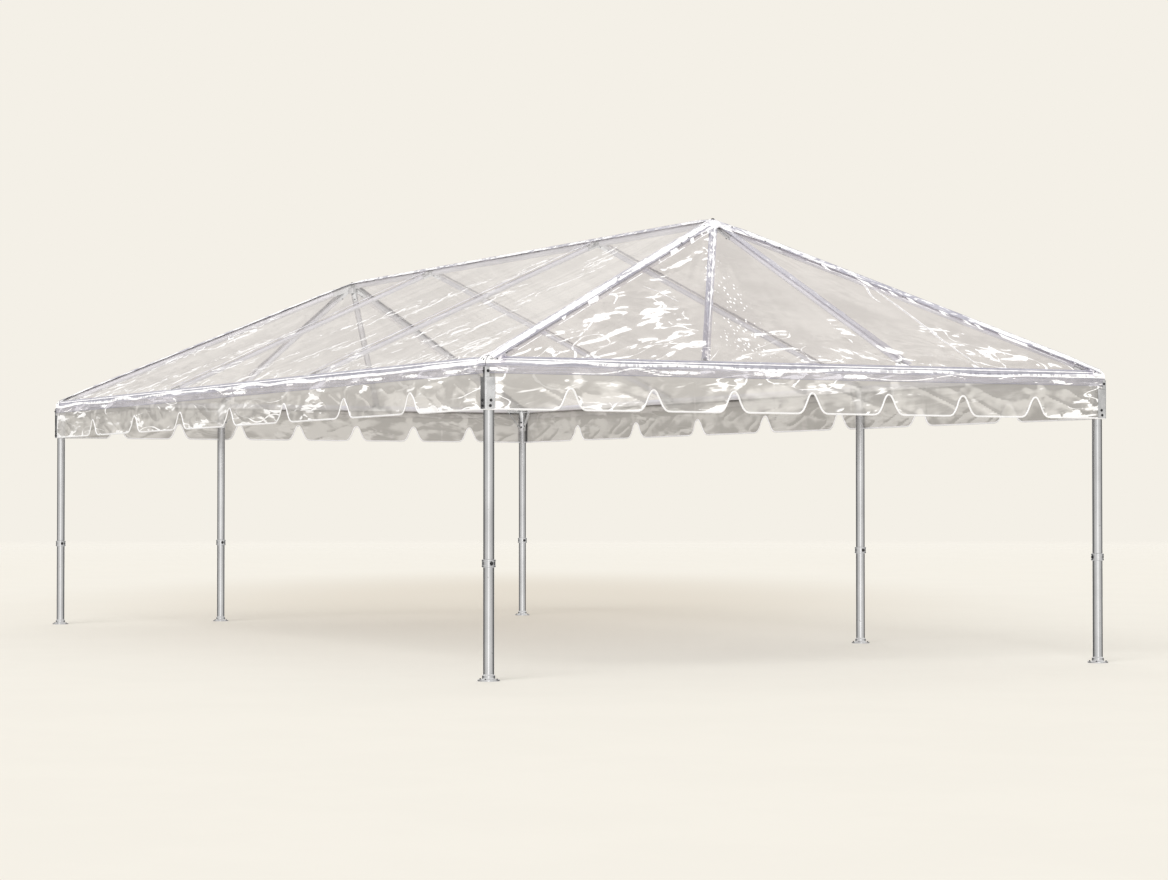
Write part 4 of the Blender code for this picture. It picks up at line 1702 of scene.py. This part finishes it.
@dataclass
class ReinforcingBands:
    """The bands welded over ridge, hips, eaves and rafters."""

    canopy: Canopy
    half_width: float = 0.058
    strip_half: float = 0.036
    lift: float = 0.0026
    seams: tuple[float, ...] = (-0.034, -0.017, 0.013, 0.123)
    seam_width: float = 0.0042
    bulge: float = 0.011
    bulge_width: float = 0.032
    swag_pitch: float = 0.62
    apron: float = 0.052

    def eave(self) -> None:
        """The band that wraps the eave's edge, one ring raised from the film itself.

        Its marks are functions of the level over the edge: seams as bells and teeth, and painted white
        highlights: a ridge as a bell, a ragged stripe, swags that hang as 0.060 + 0.055 * |sin|^1.4,
        and patches."""
        c = np.linspace(-0.036, 0.125, 47)
        near = bell(c - np.array(self.seams)[:, None], self.seam_width).max(axis=0)
        band = Surface()
        for panel, s in self.canopy.columns():
            points, uv, crinkle, _ = self.canopy.slope_points(panel, s, c, self.lift)
            level = np.broadcast_to(c[:, None], points.shape[:2])
            u = uv[..., 0]
            ragged = level + 0.010 * lattice_noise(u * 3.6, level * 20.0, 76)
            ragged = ragged + 0.020 * lattice_noise(u * 1.7, level * 8.0, 78)
            white = plateau(ragged, (0.022, 0.030), (0.044, 0.054))
            turn = u / self.swag_pitch + 1.3 * lattice_noise(u * 0.6, 0.0, 80)
            swag = bell(level - (0.060 + 0.055 * np.abs(np.sin(math.pi * turn)) ** 1.4), 0.0042)
            gate = lattice_noise(u * 1.1, level * 6.0, 82)
            swag = swag * (ease(gate, 0.0, 0.35) if panel.ends else ease(gate, 0.25, 0.6))
            patch = ease(lattice_noise(u * 2.4, level * 22.0, 84), 0.45, 0.85)
            patch = patch * ease(level, 0.050, 0.062)
            ridge = bell(level + 0.002, 0.0055)
            # The painted white highlights: the stripe, the ridge line, the swags and the patches.
            shine = np.maximum(np.maximum(white, ridge), np.maximum(0.9 * swag, 0.6 * patch))
            teeth = plateau(level, (0.020, 0.030), (0.044, 0.052))
            teeth = 0.28 * teeth * ease(lattice_noise(u * 0.75, 0.0, 86), 0.0, 0.25)
            fields = {
                CREASE: 0.10 + 0.9 * shine,
                TILT: np.maximum(near[:, None], teeth),
                SPECKLE: plateau(level, (0.052, 0.066), (0.118, 0.124)),
            }
            band.grid(points, uv, crinkle, fields, over=True)
        band.piece("band_eave", Look.BAND)

    def crease_band(
        self, surface: Surface, line: Array, arms: tuple[Array, Array], half: float, seed: int,
        apron: float = 0.0, shine: float = 1.0, lit: float = 0.0,
    ) -> None:
        """Adds a strip that lies over a fold line on both slopes beside it.

        Each point is the line's point + distance * the arm of its slope + lift * the normal,
        with puckers that grow towards the strip's edges. Its middle and borders take painted white
        highlights. Beyond the strip an apron of plain film runs on to a row of painted glint dashes.

        Args:
            surface: What it is added to.
            line: Points x 3 along the fold.
            arms: The two unit directions down the slopes, square to the fold.
            half: Half the strip's width.
            seed: Picks the puckers.
            apron: How far the film runs on beyond the strip, on the second arm's side.
            shine: Share of the painted white highlights that shows.
            lit: How strongly the first arm's side gets a painted highlight line and the other painted
                shade.
        """
        across = np.concatenate([
            -np.linspace(half, 0.0, 12)[:-1],
            np.linspace(0.0, half + apron, 12 + round(apron / 0.004)),
        ])
        arm = np.where(across[:, None] < 0, arms[0], arms[1])
        points = line[:, None] + np.abs(across)[None, :, None] * arm[None]
        normal = grid_normals(points)
        normal = np.where(normal[..., 2:] < 0, -normal, normal)
        v, u = np.meshgrid(across, travelled(line))
        edge = np.abs(v) / half
        body = 1 - ease(edge, 1.02, 1.10)
        pucker = lattice_noise(u * 14, v * 20 + seed, seed) * np.minimum(edge, 1.0) ** 2 * 0.0025
        rest = ease(np.minimum(u, u[-1] - u), 0.05, 0.35)
        crest = self.bulge * rest * bell(v, self.bulge_width)
        mean = unit(-(arms[0] + arms[1]))
        if np.linalg.norm(arms[0] + arms[1]) < 0.1:
            mean, crest = normal[0, 0], crest * 0.25
        points = points + normal * (self.lift + 0.0015 + pucker[..., None])
        points = points + crest[..., None] * mean
        # Painted white highlights along the middle and the borders.
        border = plateau(edge, (0.94, 0.98), (1.02, 1.06))
        border = border * ease(lattice_noise(u * 2.2, 0.0, seed + 8), -0.2, 0.3)
        middle = plateau(edge, (0.04, 0.12), (0.76, 0.84))
        crease = 0.08 + 0.72 * shine * np.maximum(middle, 0.8 * border)
        crease = crease + 0.20 * lattice_noise(u * 1.8, v * 9 + 3, seed + 4)
        # With lit, a painted highlight line on the first side and painted shade on the second.
        crease = np.maximum(crease, lit * bell(v / half + 0.42, 0.13))
        dark = lit * ease(v / half, 0.10, 0.35)
        # Painted glints on the apron's tucks and dashes.
        tucks = lattice_noise(u * 17 - np.abs(v) * 22, np.abs(v) * 5, seed + 5)
        tucks = ease(tucks, -0.05, 0.35) * ease(lattice_noise(u * 1.3, 0.0, seed + 6), -0.5, 0.0)
        reach = half + np.where(v < 0, 0.0, apron)
        dashes = bell(reach - 0.006 - np.abs(v), 0.0035)
        dashes = dashes * ease(lattice_noise(u * 8, 0.0, seed + 7), -0.35, 0.0)
        crease = crease * body + np.maximum(0.85 * tucks, dashes) * (1 - body)
        fields = {
            CREASE: np.clip(crease, 0, 1.2),
            TILT: np.maximum(0.60 * bell(edge - 0.93, 0.07), 0.82 * dark),
            SPECKLE: 1.7 * (1 - body),
        }
        uv = np.stack([u, v], axis=-1)
        # The faces point against the grid's normals, so they are turned over where these rise.
        rising = grid_normals(points)[len(points) // 2, 4][2] > 0
        surface.grid(points, uv, uv, fields, over=rising)

    def folds(self) -> None:
        """The strips over the ridge and the four hips."""
        for number, (name, (sx, sy)) in enumerate(CORNERS.items()):
            peak, corner = PLAN.peak(sx), PLAN.corner(sx, sy)
            line = np.linspace(peak, corner + unit(peak - corner) * 0.05, 260)
            along = unit(corner - peak)
            arm_side = unit(np.cross(PLAN.side_normal(sy), along))
            arm_side = arm_side * (1 if arm_side[0] * sx < 0 else -1)
            arm_end = unit(np.cross(PLAN.end_normal(sx), along))
            arm_end = arm_end * (1 if arm_end[1] * sy < 0 else -1)
            # The near front hip gets more painted highlight than the others.
            shine = 0.82 if name == "near_front" else 0.55
            band = Surface()
            self.crease_band(band, line, (arm_side, arm_end), self.half_width, 31 + number,
                             self.apron, shine)
            band.piece(f"band_hip_{name}", Look.BAND)
        line = np.linspace(PLAN.peak(-1), PLAN.peak(1), 260)
        c, s = math.cos(PLAN.side_pitch), math.sin(PLAN.side_pitch)
        arms = (np.array([0, -c, -s]), np.array([0, c, -s]))
        band = Surface()
        self.crease_band(band, line, arms, self.half_width, 57, shine=0.6)
        band.piece("band_ridge", Look.VEIL)

    def strips(self) -> None:
        """The narrower wear strips over the rafters."""
        for name, (sx, sy) in CORNERS.items():
            pair = sx + 3 * sy
            # Side strips: a painted highlight line on one side and painted shade on the other.
            self.strip(f"strip_side_{name}", PLAN.side_head(sx), PLAN.side_foot(sx, sy),
                       PLAN.side_normal(sy), 91 + pair, Look.VEIL, 0.35, 0.9)
            # The near front and far back end strips get that painted light and shade; the other two do
            # not.
            look = (Look.STRIP, 0.35, 0.8) if sx * sy < 0 else (Look.VEIL, 0.3, 0.0)
            self.strip(f"strip_end_{name}", PLAN.crown(sx), PLAN.end_foot(sx, sy),
                       PLAN.end_normal(sx), 101 + pair, *look)

    def strip(
        self, name: str, head: Array, foot: Array, normal: Array, seed: int,
        look: Look, shine: float, lit: float,
    ) -> None:
        """Makes one wear strip on a flat slope from a rafter's head to its foot.

        Args:
            name: The piece's name.
            head: The rafter's head, on its axis.
            foot: Its foot.
            normal: The slope's unit normal.
            seed: Picks the puckers.
            look: The strip's look.
            shine: Share of the painted white highlights that shows.
            lit: How strongly one side gets a painted highlight line and the other painted shade.
        """
        depth = normal * PLAN.axis_depth
        head, foot = head + depth, foot + depth
        axis = unit(foot - head)
        arm = unit(np.cross(normal, axis))
        line = np.linspace(head + axis * 0.07, foot - axis * 0.02, 120)
        band = Surface()
        self.crease_band(band, line, (arm, -arm), self.strip_half, seed, 0.0, shine, lit)
        band.piece(name, look)

    def build(self) -> None:
        """Makes all the bands and strips."""
        self.eave()
        self.folds()
        self.strips()


@dataclass(frozen=True)
class Pleat:
    """A pinched fold of the near end's film, from one place on the slope to another.

    A place is the distance along from the slope's middle line, and the share down it.
    """

    start: tuple[float, float]
    end: tuple[float, float]
    half: float = 0.015
    lift: float = 0.0035
    bend: float = 0.02

    def build(self, number: int, canopy: Canopy) -> None:
        """Makes the fold on the film's own surface.

        Its middle line runs straight from start to end with a slow bend of sin, and its
        half-width swells as sin(pi t) ** 0.4.

        Args:
            number: Its place in the list, for its name.
            canopy: The film that it lies on.
        """
        t = np.linspace(0.0, 1.0, 120)
        share = self.start[1] + (self.end[1] - self.start[1]) * t
        along = self.start[0] + (self.end[0] - self.start[0]) * t
        along = along + self.bend * np.sin(math.tau * t)
        v = np.linspace(-1.0, 1.0, 9)
        wide = self.half * np.sin(math.pi * (0.02 + 0.96 * t)) ** 0.4
        s = (along[:, None] + wide[:, None] * v[None]) / (PLAN.width / 2 * share[:, None])
        c = -(1 - share) * canopy.ref
        points, uv, crinkle, _ = canopy.slope_points(Panel.NEAR_END, s, c, self.lift)
        edge = np.broadcast_to(np.abs(v), s.shape)
        # Painted white highlights along the fold's edges.
        fields = {CREASE: 0.35 + 0.75 * ease(edge, 0.3, 0.9), SPECKLE: np.full(s.shape, 0.4)}
        fold = Surface()
        fold.grid(points, uv, crinkle, fields, over=True)
        fold.piece(f"pleat_{number}", Look.PLEAT)


END_PLEATS = (
    Pleat((1.20, 0.47), (1.72, 0.975)),
    Pleat((1.08, 0.41), (1.17, 0.55), 0.012),
    Pleat((-1.16, 0.50), (-0.90, 0.60), 0.012),
)


@dataclass
class CrownPatch:
    """The white doubled corner over each crown, with its rivets and a dark cap."""

    end: str
    sx: int
    reach: float = 0.44
    lift: float = 0.0052
    cap_drop: float = 0.010
    rivet_shares: tuple[float, ...] = (0.28, 0.52, 0.76, 0.97)

    def build(self) -> None:
        """Makes the patch, its rivets and the cap.

        The patch reaches down as reach * (0.32 + 0.68 * |s|^2.2), s from -1 to 1 across it."""
        peak, normal = PLAN.peak(self.sx), PLAN.end_normal(self.sx)
        down = np.array([self.sx * math.cos(PLAN.end_pitch), 0, -math.sin(PLAN.end_pitch)])
        half = PLAN.width / 2 / (PLAN.hip_setback / math.cos(PLAN.end_pitch))
        patch, rivets = Surface(), Surface()
        s = np.linspace(-1, 1, 41)
        d = np.linspace(0.0, 1.0, 16)[:, None] * self.reach * (0.32 + 0.68 * np.abs(s) ** 2.2)
        y = d * half * s
        points = peak + d[..., None] * down + y[..., None] * ALONG_Y + normal * self.lift
        uv = np.stack([y, d], axis=-1)
        crease = 0.55 + 0.5 * lattice_noise(y * 14, d * 14, 3)
        patch.grid(points, uv, uv, {CREASE: crease}, over=self.sx > 0)
        patch.piece(f"patch_crown_{self.end}", Look.PATCH)
        rivet = [(0, 0), (0, 0.009), (0.002, 0.009), (0.0035, 0.006), (0.0035, 0)]
        for side in (-1, 1):
            for share in self.rivet_shares:
                reach = self.reach * share
                spot = peak + down * reach + ALONG_Y * reach * half * side * 0.86
                rivets.turned(spot + normal * self.lift, spot + normal * 2, rivet, 12)
        cap = [(0, 0), (0, 0.016), (0.010, 0.017), (0.015, 0.013), (0.018, 0.006), (0.0185, 0)]
        rivets.turned(peak - UP * self.cap_drop, peak, cap, 20)
        rivets.piece(f"rivets_crown_{self.end}", Look.BOLT)


@dataclass
class CornerPatch:
    """The doubled film over one corner of the roof, with its dark lacing loops.

    Each loop is a row and column of the patch's grid, and its lean from level in radians.
    """

    name: str
    canopy: Canopy
    before: Panel
    after: Panel
    rise: float = 0.15
    lap: float = 0.040
    narrow: float = 0.05
    wide: float = 0.17
    lift: float = 0.0056
    loops: tuple[tuple[int, int, float], ...] = ((10, 5, 0.6), (15, 9, -0.9))
    loop_half: float = 0.015
    loop_radius: float = 0.0048

    def loop(self, surface: Surface, spot: Array, way: Array, turn: float) -> None:
        """Adds a short cord that lies on the film: a bar with round ends.

        Args:
            surface: What it is added to.
            spot: Its middle on the film.
            way: The film's normal there.
            turn: How far it leans from level, in radians.
        """
        level = unit(np.cross(way, UP))
        axis = level * math.cos(turn) + np.cross(way, level) * math.sin(turn)
        angle = np.linspace(0.0, math.pi / 2, 5)
        r = self.loop_radius
        tip = np.stack([r * (1 - np.cos(angle)), r * np.sin(angle)], axis=1)
        far = np.stack([2 * self.loop_half - tip[::-1, 0], tip[::-1, 1]], axis=1)
        start = spot + way * r * 0.5 - axis * self.loop_half
        surface.turned(start, start + axis, np.concatenate([tip, far]), 12)

    def half(self, panel: Panel, s_end: int, surface: Surface, cords: Surface) -> None:
        """Adds the patch's half on one slope.

        Its rows follow the slope's own curve over the eave, and each row reaches from the hip
        to narrow + (wide - narrow) * a smooth rise towards the eave. It thins to its edge.

        Args:
            panel: The slope.
            s_end: 1 where the corner is at the slope's last column, -1 at its first.
            surface: What the patch is added to.
            cords: What the loops are added to.
        """
        c = np.linspace(-self.rise, self.lap, 21)
        left, inset, _ = self.canopy.eave_curve(c)
        long_half, wide_half, _ = self.canopy.ring(left, inset, 0 * c)
        half = (wide_half if panel.ends else long_half)[:, None]
        reach = self.narrow + (self.wide - self.narrow) * ease(c, -self.rise, -0.02)
        t = np.linspace(0.0, 1.0, 19)[::-s_end]
        s = s_end * (1 - t[None] * reach[:, None] / half)
        points, uv, crinkle, _ = self.canopy.slope_points(panel, s, c, self.lift)
        grain = 0.30 * lattice_noise(uv[..., 0] * 26, uv[..., 1] * 26, 7)
        rim = (1 - ease(t[None], 0.45, 1.0)) * ease(c[:, None], -self.rise, -self.rise + 0.06)
        fields = {CREASE: np.clip(0.15 + 0.70 * rim + grain, 0.0, 1.2), SPECKLE: 1.5 * (1 - rim)}
        normals = grid_normals(points)
        surface.grid(points, uv, crinkle, fields, over=True)
        for row, column, turn in self.loops:
            column = -1 - column if s_end > 0 else column
            self.loop(cords, points[row, column], -normals[row, column], turn * s_end)

    def build(self) -> None:
        """Makes the patch and its loops."""
        patch, cords = Surface(), Surface()
        self.half(self.before, 1, patch, cords)
        self.half(self.after, -1, patch, cords)
        patch.piece(f"patch_corner_{self.name}", Look.CORNER)
        cords.piece(f"loops_corner_{self.name}", Look.BOLT)


@dataclass
class Valance:
    """A scalloped skirt of film that hangs from the eave, with its bound hem."""

    panel: Panel
    start: Array
    direction: Array
    run: float
    scallops: int
    notch: float
    shade: tuple[float, float]
    top: float = 2.586
    margin: float = 0.007
    columns_per_metre: int = 100
    rows: int = 30
    binding_wide: float = 0.0055
    binding_high: float = 0.0080
    shade_reach: float = 1.1
    map_shift: float = 20.0
    map_start: float = 100.0

    @property
    def outward(self) -> Array:
        """The level unit vector that points away from the tent."""
        return np.array([self.direction[1], -self.direction[0], 0.0])

    def nearest(self, s: Array) -> tuple[Array, Array]:
        """The number of the notch that lies nearest to each distance, and its distance."""
        pitch = self.run / self.scallops
        number = np.clip(np.round(s / pitch), 1, self.scallops - 1)
        return number, number * pitch

    def hem_height(self, s: Array) -> Array:
        """Height of the hem: hem + depth * exp(-(distance to the notch / its width)^power)."""
        share = np.abs(s - self.nearest(s)[1]) / self.notch
        return PLAN.hem + PLAN.notch_depth * np.exp(-(share**PLAN.notch_power))

    def tuck(self, z: Array) -> Array:
        """How far in the roof's rounded edge lies at a height, and a little more.

        The edge is the canopy's own curve, with r the bend's size: inset (sqrt(c*c + r*r) - c)
        * 0.425, and below the eave (sqrt + c) / 2 - (sqrt - c) / 4.

        Args:
            z: Height.

        Returns:
            Metres inwards, of the shape of z.
        """
        c = np.linspace(0.0, 0.2, 81)
        root = np.sqrt(c * c + PLAN.lip_radius**2)
        inset = (root - c) / 2 * 0.85
        height = PLAN.eave + (root - c) / 4 - (root + c) / 2
        return np.interp(z, height[::-1], inset[::-1]) + 0.0012

    def billow(self, s: Array, z: Array) -> Array:
        """How far the film stands out from its flat plane.

        Pleats fan up from each notch as cos(k * angle) * exp(-distance / reach), broad waves
        hang down, and both grow towards the hem. Near the corners and top it lies flat.

        Args:
            s: Distance along the eave.
            z: Height.

        Returns:
            Metres outwards, of the shape of s.
        """
        seed = 101 + 13 * self.panel.order
        number, place = self.nearest(s)
        over = z - (PLAN.hem + PLAN.notch_depth)
        side = s - place
        distance = np.hypot(side, over)
        angle = np.arctan2(side, over + 0.03)
        phase = lattice_noise(number * 1.37, number * 0.61, seed) * 3
        fan = np.cos(angle * 5.0 + phase) * np.exp(-distance / 0.20)
        fan = fan * ease(distance, 0.02, 0.10)
        drop = np.clip((self.top - z) / 0.40, 0, 1)
        waves = lattice_noise(s * 2.6 + z * 1.5, z * 2.0, seed + 1)
        pleats = lattice_noise(s * 8.0 - z * 7.0, z * 3.0, seed + 2)
        tugs = (1 - np.abs(lattice_noise(s * 3.2 + z * 8.0, z * 5.0 - s, seed + 3))) ** 3
        out = 0.0028 * fan + 0.011 * waves * drop + 0.0034 * pleats + 0.008 * tugs * drop
        out = (0.0075 + out) * ease(drop, 0.26, 0.40)
        return out * ease(np.minimum(s, self.run - s), 0.05, 0.16)

    def crease(self, s: Array, z: Array, out: Array) -> Array:
        """How densely the painted glints gather: more on folds, along the hem and beside the corners.

        Args:
            s: Distance along the eave.
            z: Height.
            out: Distance out.

        Returns:
            0 to 2, of the shape of s.
        """
        seed = 201 + 13 * self.panel.order
        bend = np.abs(np.gradient(np.gradient(out, axis=1), axis=1)) * 9000
        height = self.hem_height(s)
        hem = bell(z - height, 0.040)
        hem = hem * ease(lattice_noise(s * 2.3, 0.0, seed + 5), -0.2, 0.4)
        hem = hem * (1 - ease(height, PLAN.hem + 0.03, PLAN.hem + 0.09))
        clusters = ease(lattice_noise(s * 1.9, z * 4.0, seed), 0.2, 0.7) * 1.5
        corner = 1.25 * bell(np.minimum(s, self.run - s) - 0.20, 0.15)
        corner = corner * ease(lattice_noise(s * 3.1, z * 6.0, seed + 7), -0.5, 0.1)
        loose = 0.16 * ease(lattice_noise(s * 1.3 + 5, z * 2.5, seed + 6), -0.1, 0.5)
        total = 0.12 + 0.03 * np.clip(bend, 0, 1) + loose + clusters
        return np.clip(np.maximum(total + hem * 1.1, corner), 0, 2.0)

    def tilt(self, s: Array, z: Array, out: Array) -> Array:
        """How far the folds lean: their slopes along and down, added and scaled.

        Args:
            s: Distance along the eave.
            z: Height.
            out: Distance out.

        Returns:
            The lean, less the painted shade that grows towards each end of the run.
        """
        along = np.gradient(out, axis=1) / np.gradient(s, axis=1)
        down = np.gradient(out, axis=0) / np.gradient(z, axis=0)
        lean = np.clip(along * 7.5 + down * 4.4, -1.1, 1.1)
        notch = ease(self.hem_height(s), PLAN.hem + 0.04, PLAN.hem + 0.14)
        lean = lean * (1 - 0.8 * notch * ease(z, PLAN.hem + 0.30, PLAN.hem + 0.18))
        # Painted shade, strongest at each end of the run.
        first, last = self.shade
        shade = first * bell(s, self.shade_reach) + last * bell(self.run - s, self.shade_reach)
        return lean + 0.10 - shade

    def build(self) -> None:
        """Each point is start + distance along * direction + distance out * outward, at its height."""
        count = int(self.run * self.columns_per_metre)
        s = np.linspace(self.margin, self.run - self.margin, count + 1)
        z = self.top + (self.hem_height(s) - self.top) * np.linspace(0.0, 1.0, self.rows)[:, None]
        s = np.broadcast_to(s, z.shape)
        out = self.billow(s, z) - self.tuck(z)
        points = self.start + s[..., None] * self.direction + out[..., None] * self.outward
        points[..., 2] = z
        u, down = s + (self.map_shift * self.panel.order + self.map_start), self.top - z
        stretch, steep, lean = (3.0, 10.0, 0.5) if self.panel.ends else (1.5, 7.5, 0.35)
        crinkle = [u * stretch + z * 2.5, down * steep + s * stretch * lean]
        crease = self.crease(s, z, out)
        # Where the painted glints are dense the tilt rises, so that they fill in solid.
        fields = {CREASE: crease, TILT: self.tilt(s, z, out) + 0.35 * ease(crease, 0.9, 1.5)}
        name = self.panel.value
        skirt, cord = Surface(), Surface()
        skirt.grid(points, np.stack([u, down], -1), np.stack(crinkle, -1), fields, over=True)
        film = skirt.piece(f"skirt_{name}", Look.VALANCE, f"valance_{name}")
        hem = points[-1]
        up = unit(np.cross(unit(np.gradient(hem, axis=0)), self.outward))
        cord.swept(hem, self.outward, up, round_section(self.binding_wide, self.binding_high))
        binding = cord.piece(f"binding_{name}", Look.BINDING)


# Studio


@dataclass
class Studio:
    """Floor, light and camera."""

    camera_place: tuple[float, float, float] = (27.481, -12.784, 1.453)
    yaw: float = math.radians(153.592)
    pitch: float = math.radians(1.176)
    lens: float = 90.27
    sensor: float = 36.0
    paper: Colour = (0.905, 0.871, 0.799)
    sky: float = 1.0
    ambient: float = 0.58
    sky_colour: Colour = (1.0, 0.985, 0.955)
    ambient_colour: Colour = (1.0, 0.955, 0.90)
    bright_side: float = math.radians(-25)
    floor_half: float = 90.0
    floor_level: float = -0.0005

    def camera(self) -> None:
        """A camera at the photograph's viewing angle."""
        data = bpy.data.cameras.new("view")
        data.lens = self.lens
        data.sensor_width = self.sensor
        data.clip_end = 500.0
        made = bpy.data.objects.new("view", data)
        made.location = self.camera_place
        made.rotation_euler = (math.pi / 2 + self.pitch, 0.0, self.yaw - math.pi / 2)
        bpy.context.scene.collection.objects.link(made)
        bpy.context.scene.camera = made

    def world(self) -> None:
        """A pale room: plain paper to the camera, a soft studio all round for light.

        The room's strength follows its bearing, brightest on one side, and the height.
        """
        world = bpy.data.worlds.new("studio")
        bpy.context.scene.world = world
        s = NodeSheet(world)
        ray = s.add("ShaderNodeTexCoord", {}).outputs["Generated"]
        height = s.level("ShaderNodeSeparateXYZ", {0: ray}, 2)
        level = s.vector("NORMALIZE", s.vector("MULTIPLY", ray, (1.0, 1.0, 0.0)))
        facing = (math.cos(self.bright_side), math.sin(self.bright_side), 0.0)
        inputs = {0: level, 1: facing}
        lobe = s.level("ShaderNodeVectorMath", inputs, "Value", operation="DOT_PRODUCT")
        front = (lobe * 0.42 + 0.50) * s.spread(lobe, -0.30, 0.10, 0.5, 1.0)
        window = s.spread(lobe, 0.95, 0.995, 0.0, 0.45)
        glow = s.spread(lobe, -0.97, -0.80, 0.50, 0.0)
        band = front + window + glow
        band = band + (self.sky - band) * s.spread(height, -0.50, -0.20, 1.0, 0.0)
        strength = (self.sky - band) * s.spread(height, 0.06, 0.30) + band
        path = s.add("ShaderNodeLightPath", {})
        diffuse = Level(s, path.outputs["Is Diffuse Ray"])
        strength = strength * (1.0 - diffuse * (1.0 - self.ambient))
        tint = s.blend(diffuse, self.sky_colour, self.ambient_colour)
        lit = s.add("ShaderNodeBackground", {"Color": tint, "Strength": strength})
        paper = s.add("ShaderNodeBackground", {"Color": (*self.paper, 1.0), "Strength": 1.0})
        both = s.joined(path.outputs["Is Camera Ray"], lit.outputs[0], paper.outputs[0])
        s.finish(both, "ShaderNodeOutputWorld")

    def lamp(self, name: str, azimuth: float, height: float, size: float, power: float) -> None:
        """A soft far lamp.

        Args:
            name: The lamp's name.
            azimuth: Where it stands, degrees from +X.
            height: Its height angle in degrees.
            size: How wide it looks, in degrees.
            power: Its strength in watts for each square metre.
        """
        data = bpy.data.lights.new(name, "SUN")
        data.energy = power
        data.angle = math.radians(size)
        made = bpy.data.objects.new(name, data)
        a, h = math.radians(azimuth), math.radians(height)
        to = Vector((math.cos(a) * math.cos(h), math.sin(a) * math.cos(h), math.sin(h)))
        made.rotation_euler = to.to_track_quat("Z", "Y").to_euler()
        made.visible_glossy = False
        bpy.context.scene.collection.objects.link(made)

    def floor(self) -> None:
        """A wide flat floor."""
        spot = np.linspace(-self.floor_half, self.floor_half, 13)
        x, y = np.meshgrid(spot, spot)
        ground = Surface()
        points = np.stack([x, y, np.full_like(x, self.floor_level)], axis=-1)
        ground.grid(points, points[..., :2])
        made = ground.object("floor", sheet=True)
        made.data.materials.append(FloorFinish().material())
        made.visible_glossy = False

    def build(self) -> None:
        """Sets up the whole studio."""
        self.camera()
        self.world()
        self.lamp("key_lamp", -47, 28, 42, 2.6)
        self.lamp("back_lamp", 150, 40, 50, 0.7)
        self.floor()
        scene = bpy.context.scene
        scene.view_settings.view_transform = "Standard"
        scene.view_settings.look = "None"
        scene.cycles.transparent_max_bounces = 40
        scene.cycles.max_bounces = 10


def legs() -> list[Leg]:
    """Places the legs.

    Returns:
        The six legs with the direction of their coupler pins.
    """
    found = [
        Leg(name, PLAN.rail_node(*signs), ALONG_Y if name == "near_back" else ALONG_X)
        for name, signs in CORNERS.items()
    ]
    found.append(Leg("back", PLAN.side_foot(1, 1), ALONG_X))
    found.append(Leg("far_end", PLAN.end_foot(-1, -1), ALONG_X))
    return found


def rails() -> list[EaveRail]:
    """Places the eave rails.

    Returns:
        The four eave rails with their stations.
    """
    made = []
    for name, sy in (("front", -1), ("back", 1)):
        stations = [(PLAN.side_foot(sx, sy), PLAN.side_head(sx), (sx, sy) == (1, 1)) for sx in (-1, 1)]
        made.append(EaveRail(name, PLAN.rail_node(-1, sy), PLAN.rail_node(1, sy), stations))
    for name, sx in (("near_end", 1), ("far_end", -1)):
        stations = [(PLAN.end_foot(sx, sy), PLAN.crown(sx), (sx, sy) == (-1, -1)) for sy in (-1, 1)]
        made.append(EaveRail(name, PLAN.rail_node(sx, -1), PLAN.rail_node(sx, 1), stations))
    return made


def rafters() -> list[Rafter]:
    """Places the rafters.

    Returns:
        Hips, end rafters and side rafters.
    """
    made = []
    for name, signs in CORNERS.items():
        sx = signs[0]
        crown, tee = PLAN.crown_reach, PLAN.tee_reach
        made += [
            Rafter(f"hip_rafter_{name}", PLAN.hip_foot(*signs), PLAN.crown(sx),
                   PLAN.corner_reach, crown, PLAN.tube_radius),
            Rafter(f"end_rafter_{name}", PLAN.end_foot(*signs), PLAN.crown(sx),
                   tee, crown, PLAN.rafter_radius),
            Rafter(f"side_rafter_{name}", PLAN.side_foot(*signs), PLAN.side_head(sx),
                   tee, tee, PLAN.rafter_radius),
        ]
    return made


def valances() -> list[Valance]:
    """Places the valances.

    Returns:
        The four skirts, each run starting at the corner on its left as seen from outside.
    """
    corners = [PLAN.corner(*signs) * (1, 1, 0) for signs in ((-1, -1), (1, -1), (1, 1), (-1, 1))]
    long, short = (PLAN.length, 8, PLAN.side_notch), (PLAN.width, 8, PLAN.end_notch)
    # The last pair of each is the painted shade at the start and end of its run.
    return [
        Valance(Panel.FRONT, corners[0], ALONG_X, *long, (-0.75, 0.42)),
        Valance(Panel.NEAR_END, corners[1], ALONG_Y, *short, (0.48, 0.0)),
        Valance(Panel.BACK, corners[2], -ALONG_X, *long, (0.15, 0.15)),
        Valance(Panel.FAR_END, corners[3], -ALONG_Y, *short, (0.15, 0.15)),
    ]


def main() -> None:
    """Builds the marquee's pieces in order, then the studio."""
    logging.basicConfig(level=logging.INFO, format="%(message)s")
    for leg in legs():
        leg.build()
    for name, signs in CORNERS.items():
        CornerFitting(name, *signs).build()
    for rail in rails():
        rail.build()
    for rafter in rafters():
        rafter.build()
    RidgeRun().build()
    for end, sx in ENDS.items():
        Crown(end, sx).build()
    canopy = Canopy()
    canopy.build()
    ReinforcingBands(canopy).build()
    for number, pleat in enumerate(END_PLEATS):
        pleat.build(number, canopy)
    for end, sx in ENDS.items():
        CrownPatch(end, sx).build()
    for name, (before, after) in MEETINGS.items():
        CornerPatch(name, canopy, before, after).build()
    for valance in valances():
        valance.build()
    Studio().build()


if __name__ == "__main__":
    main()
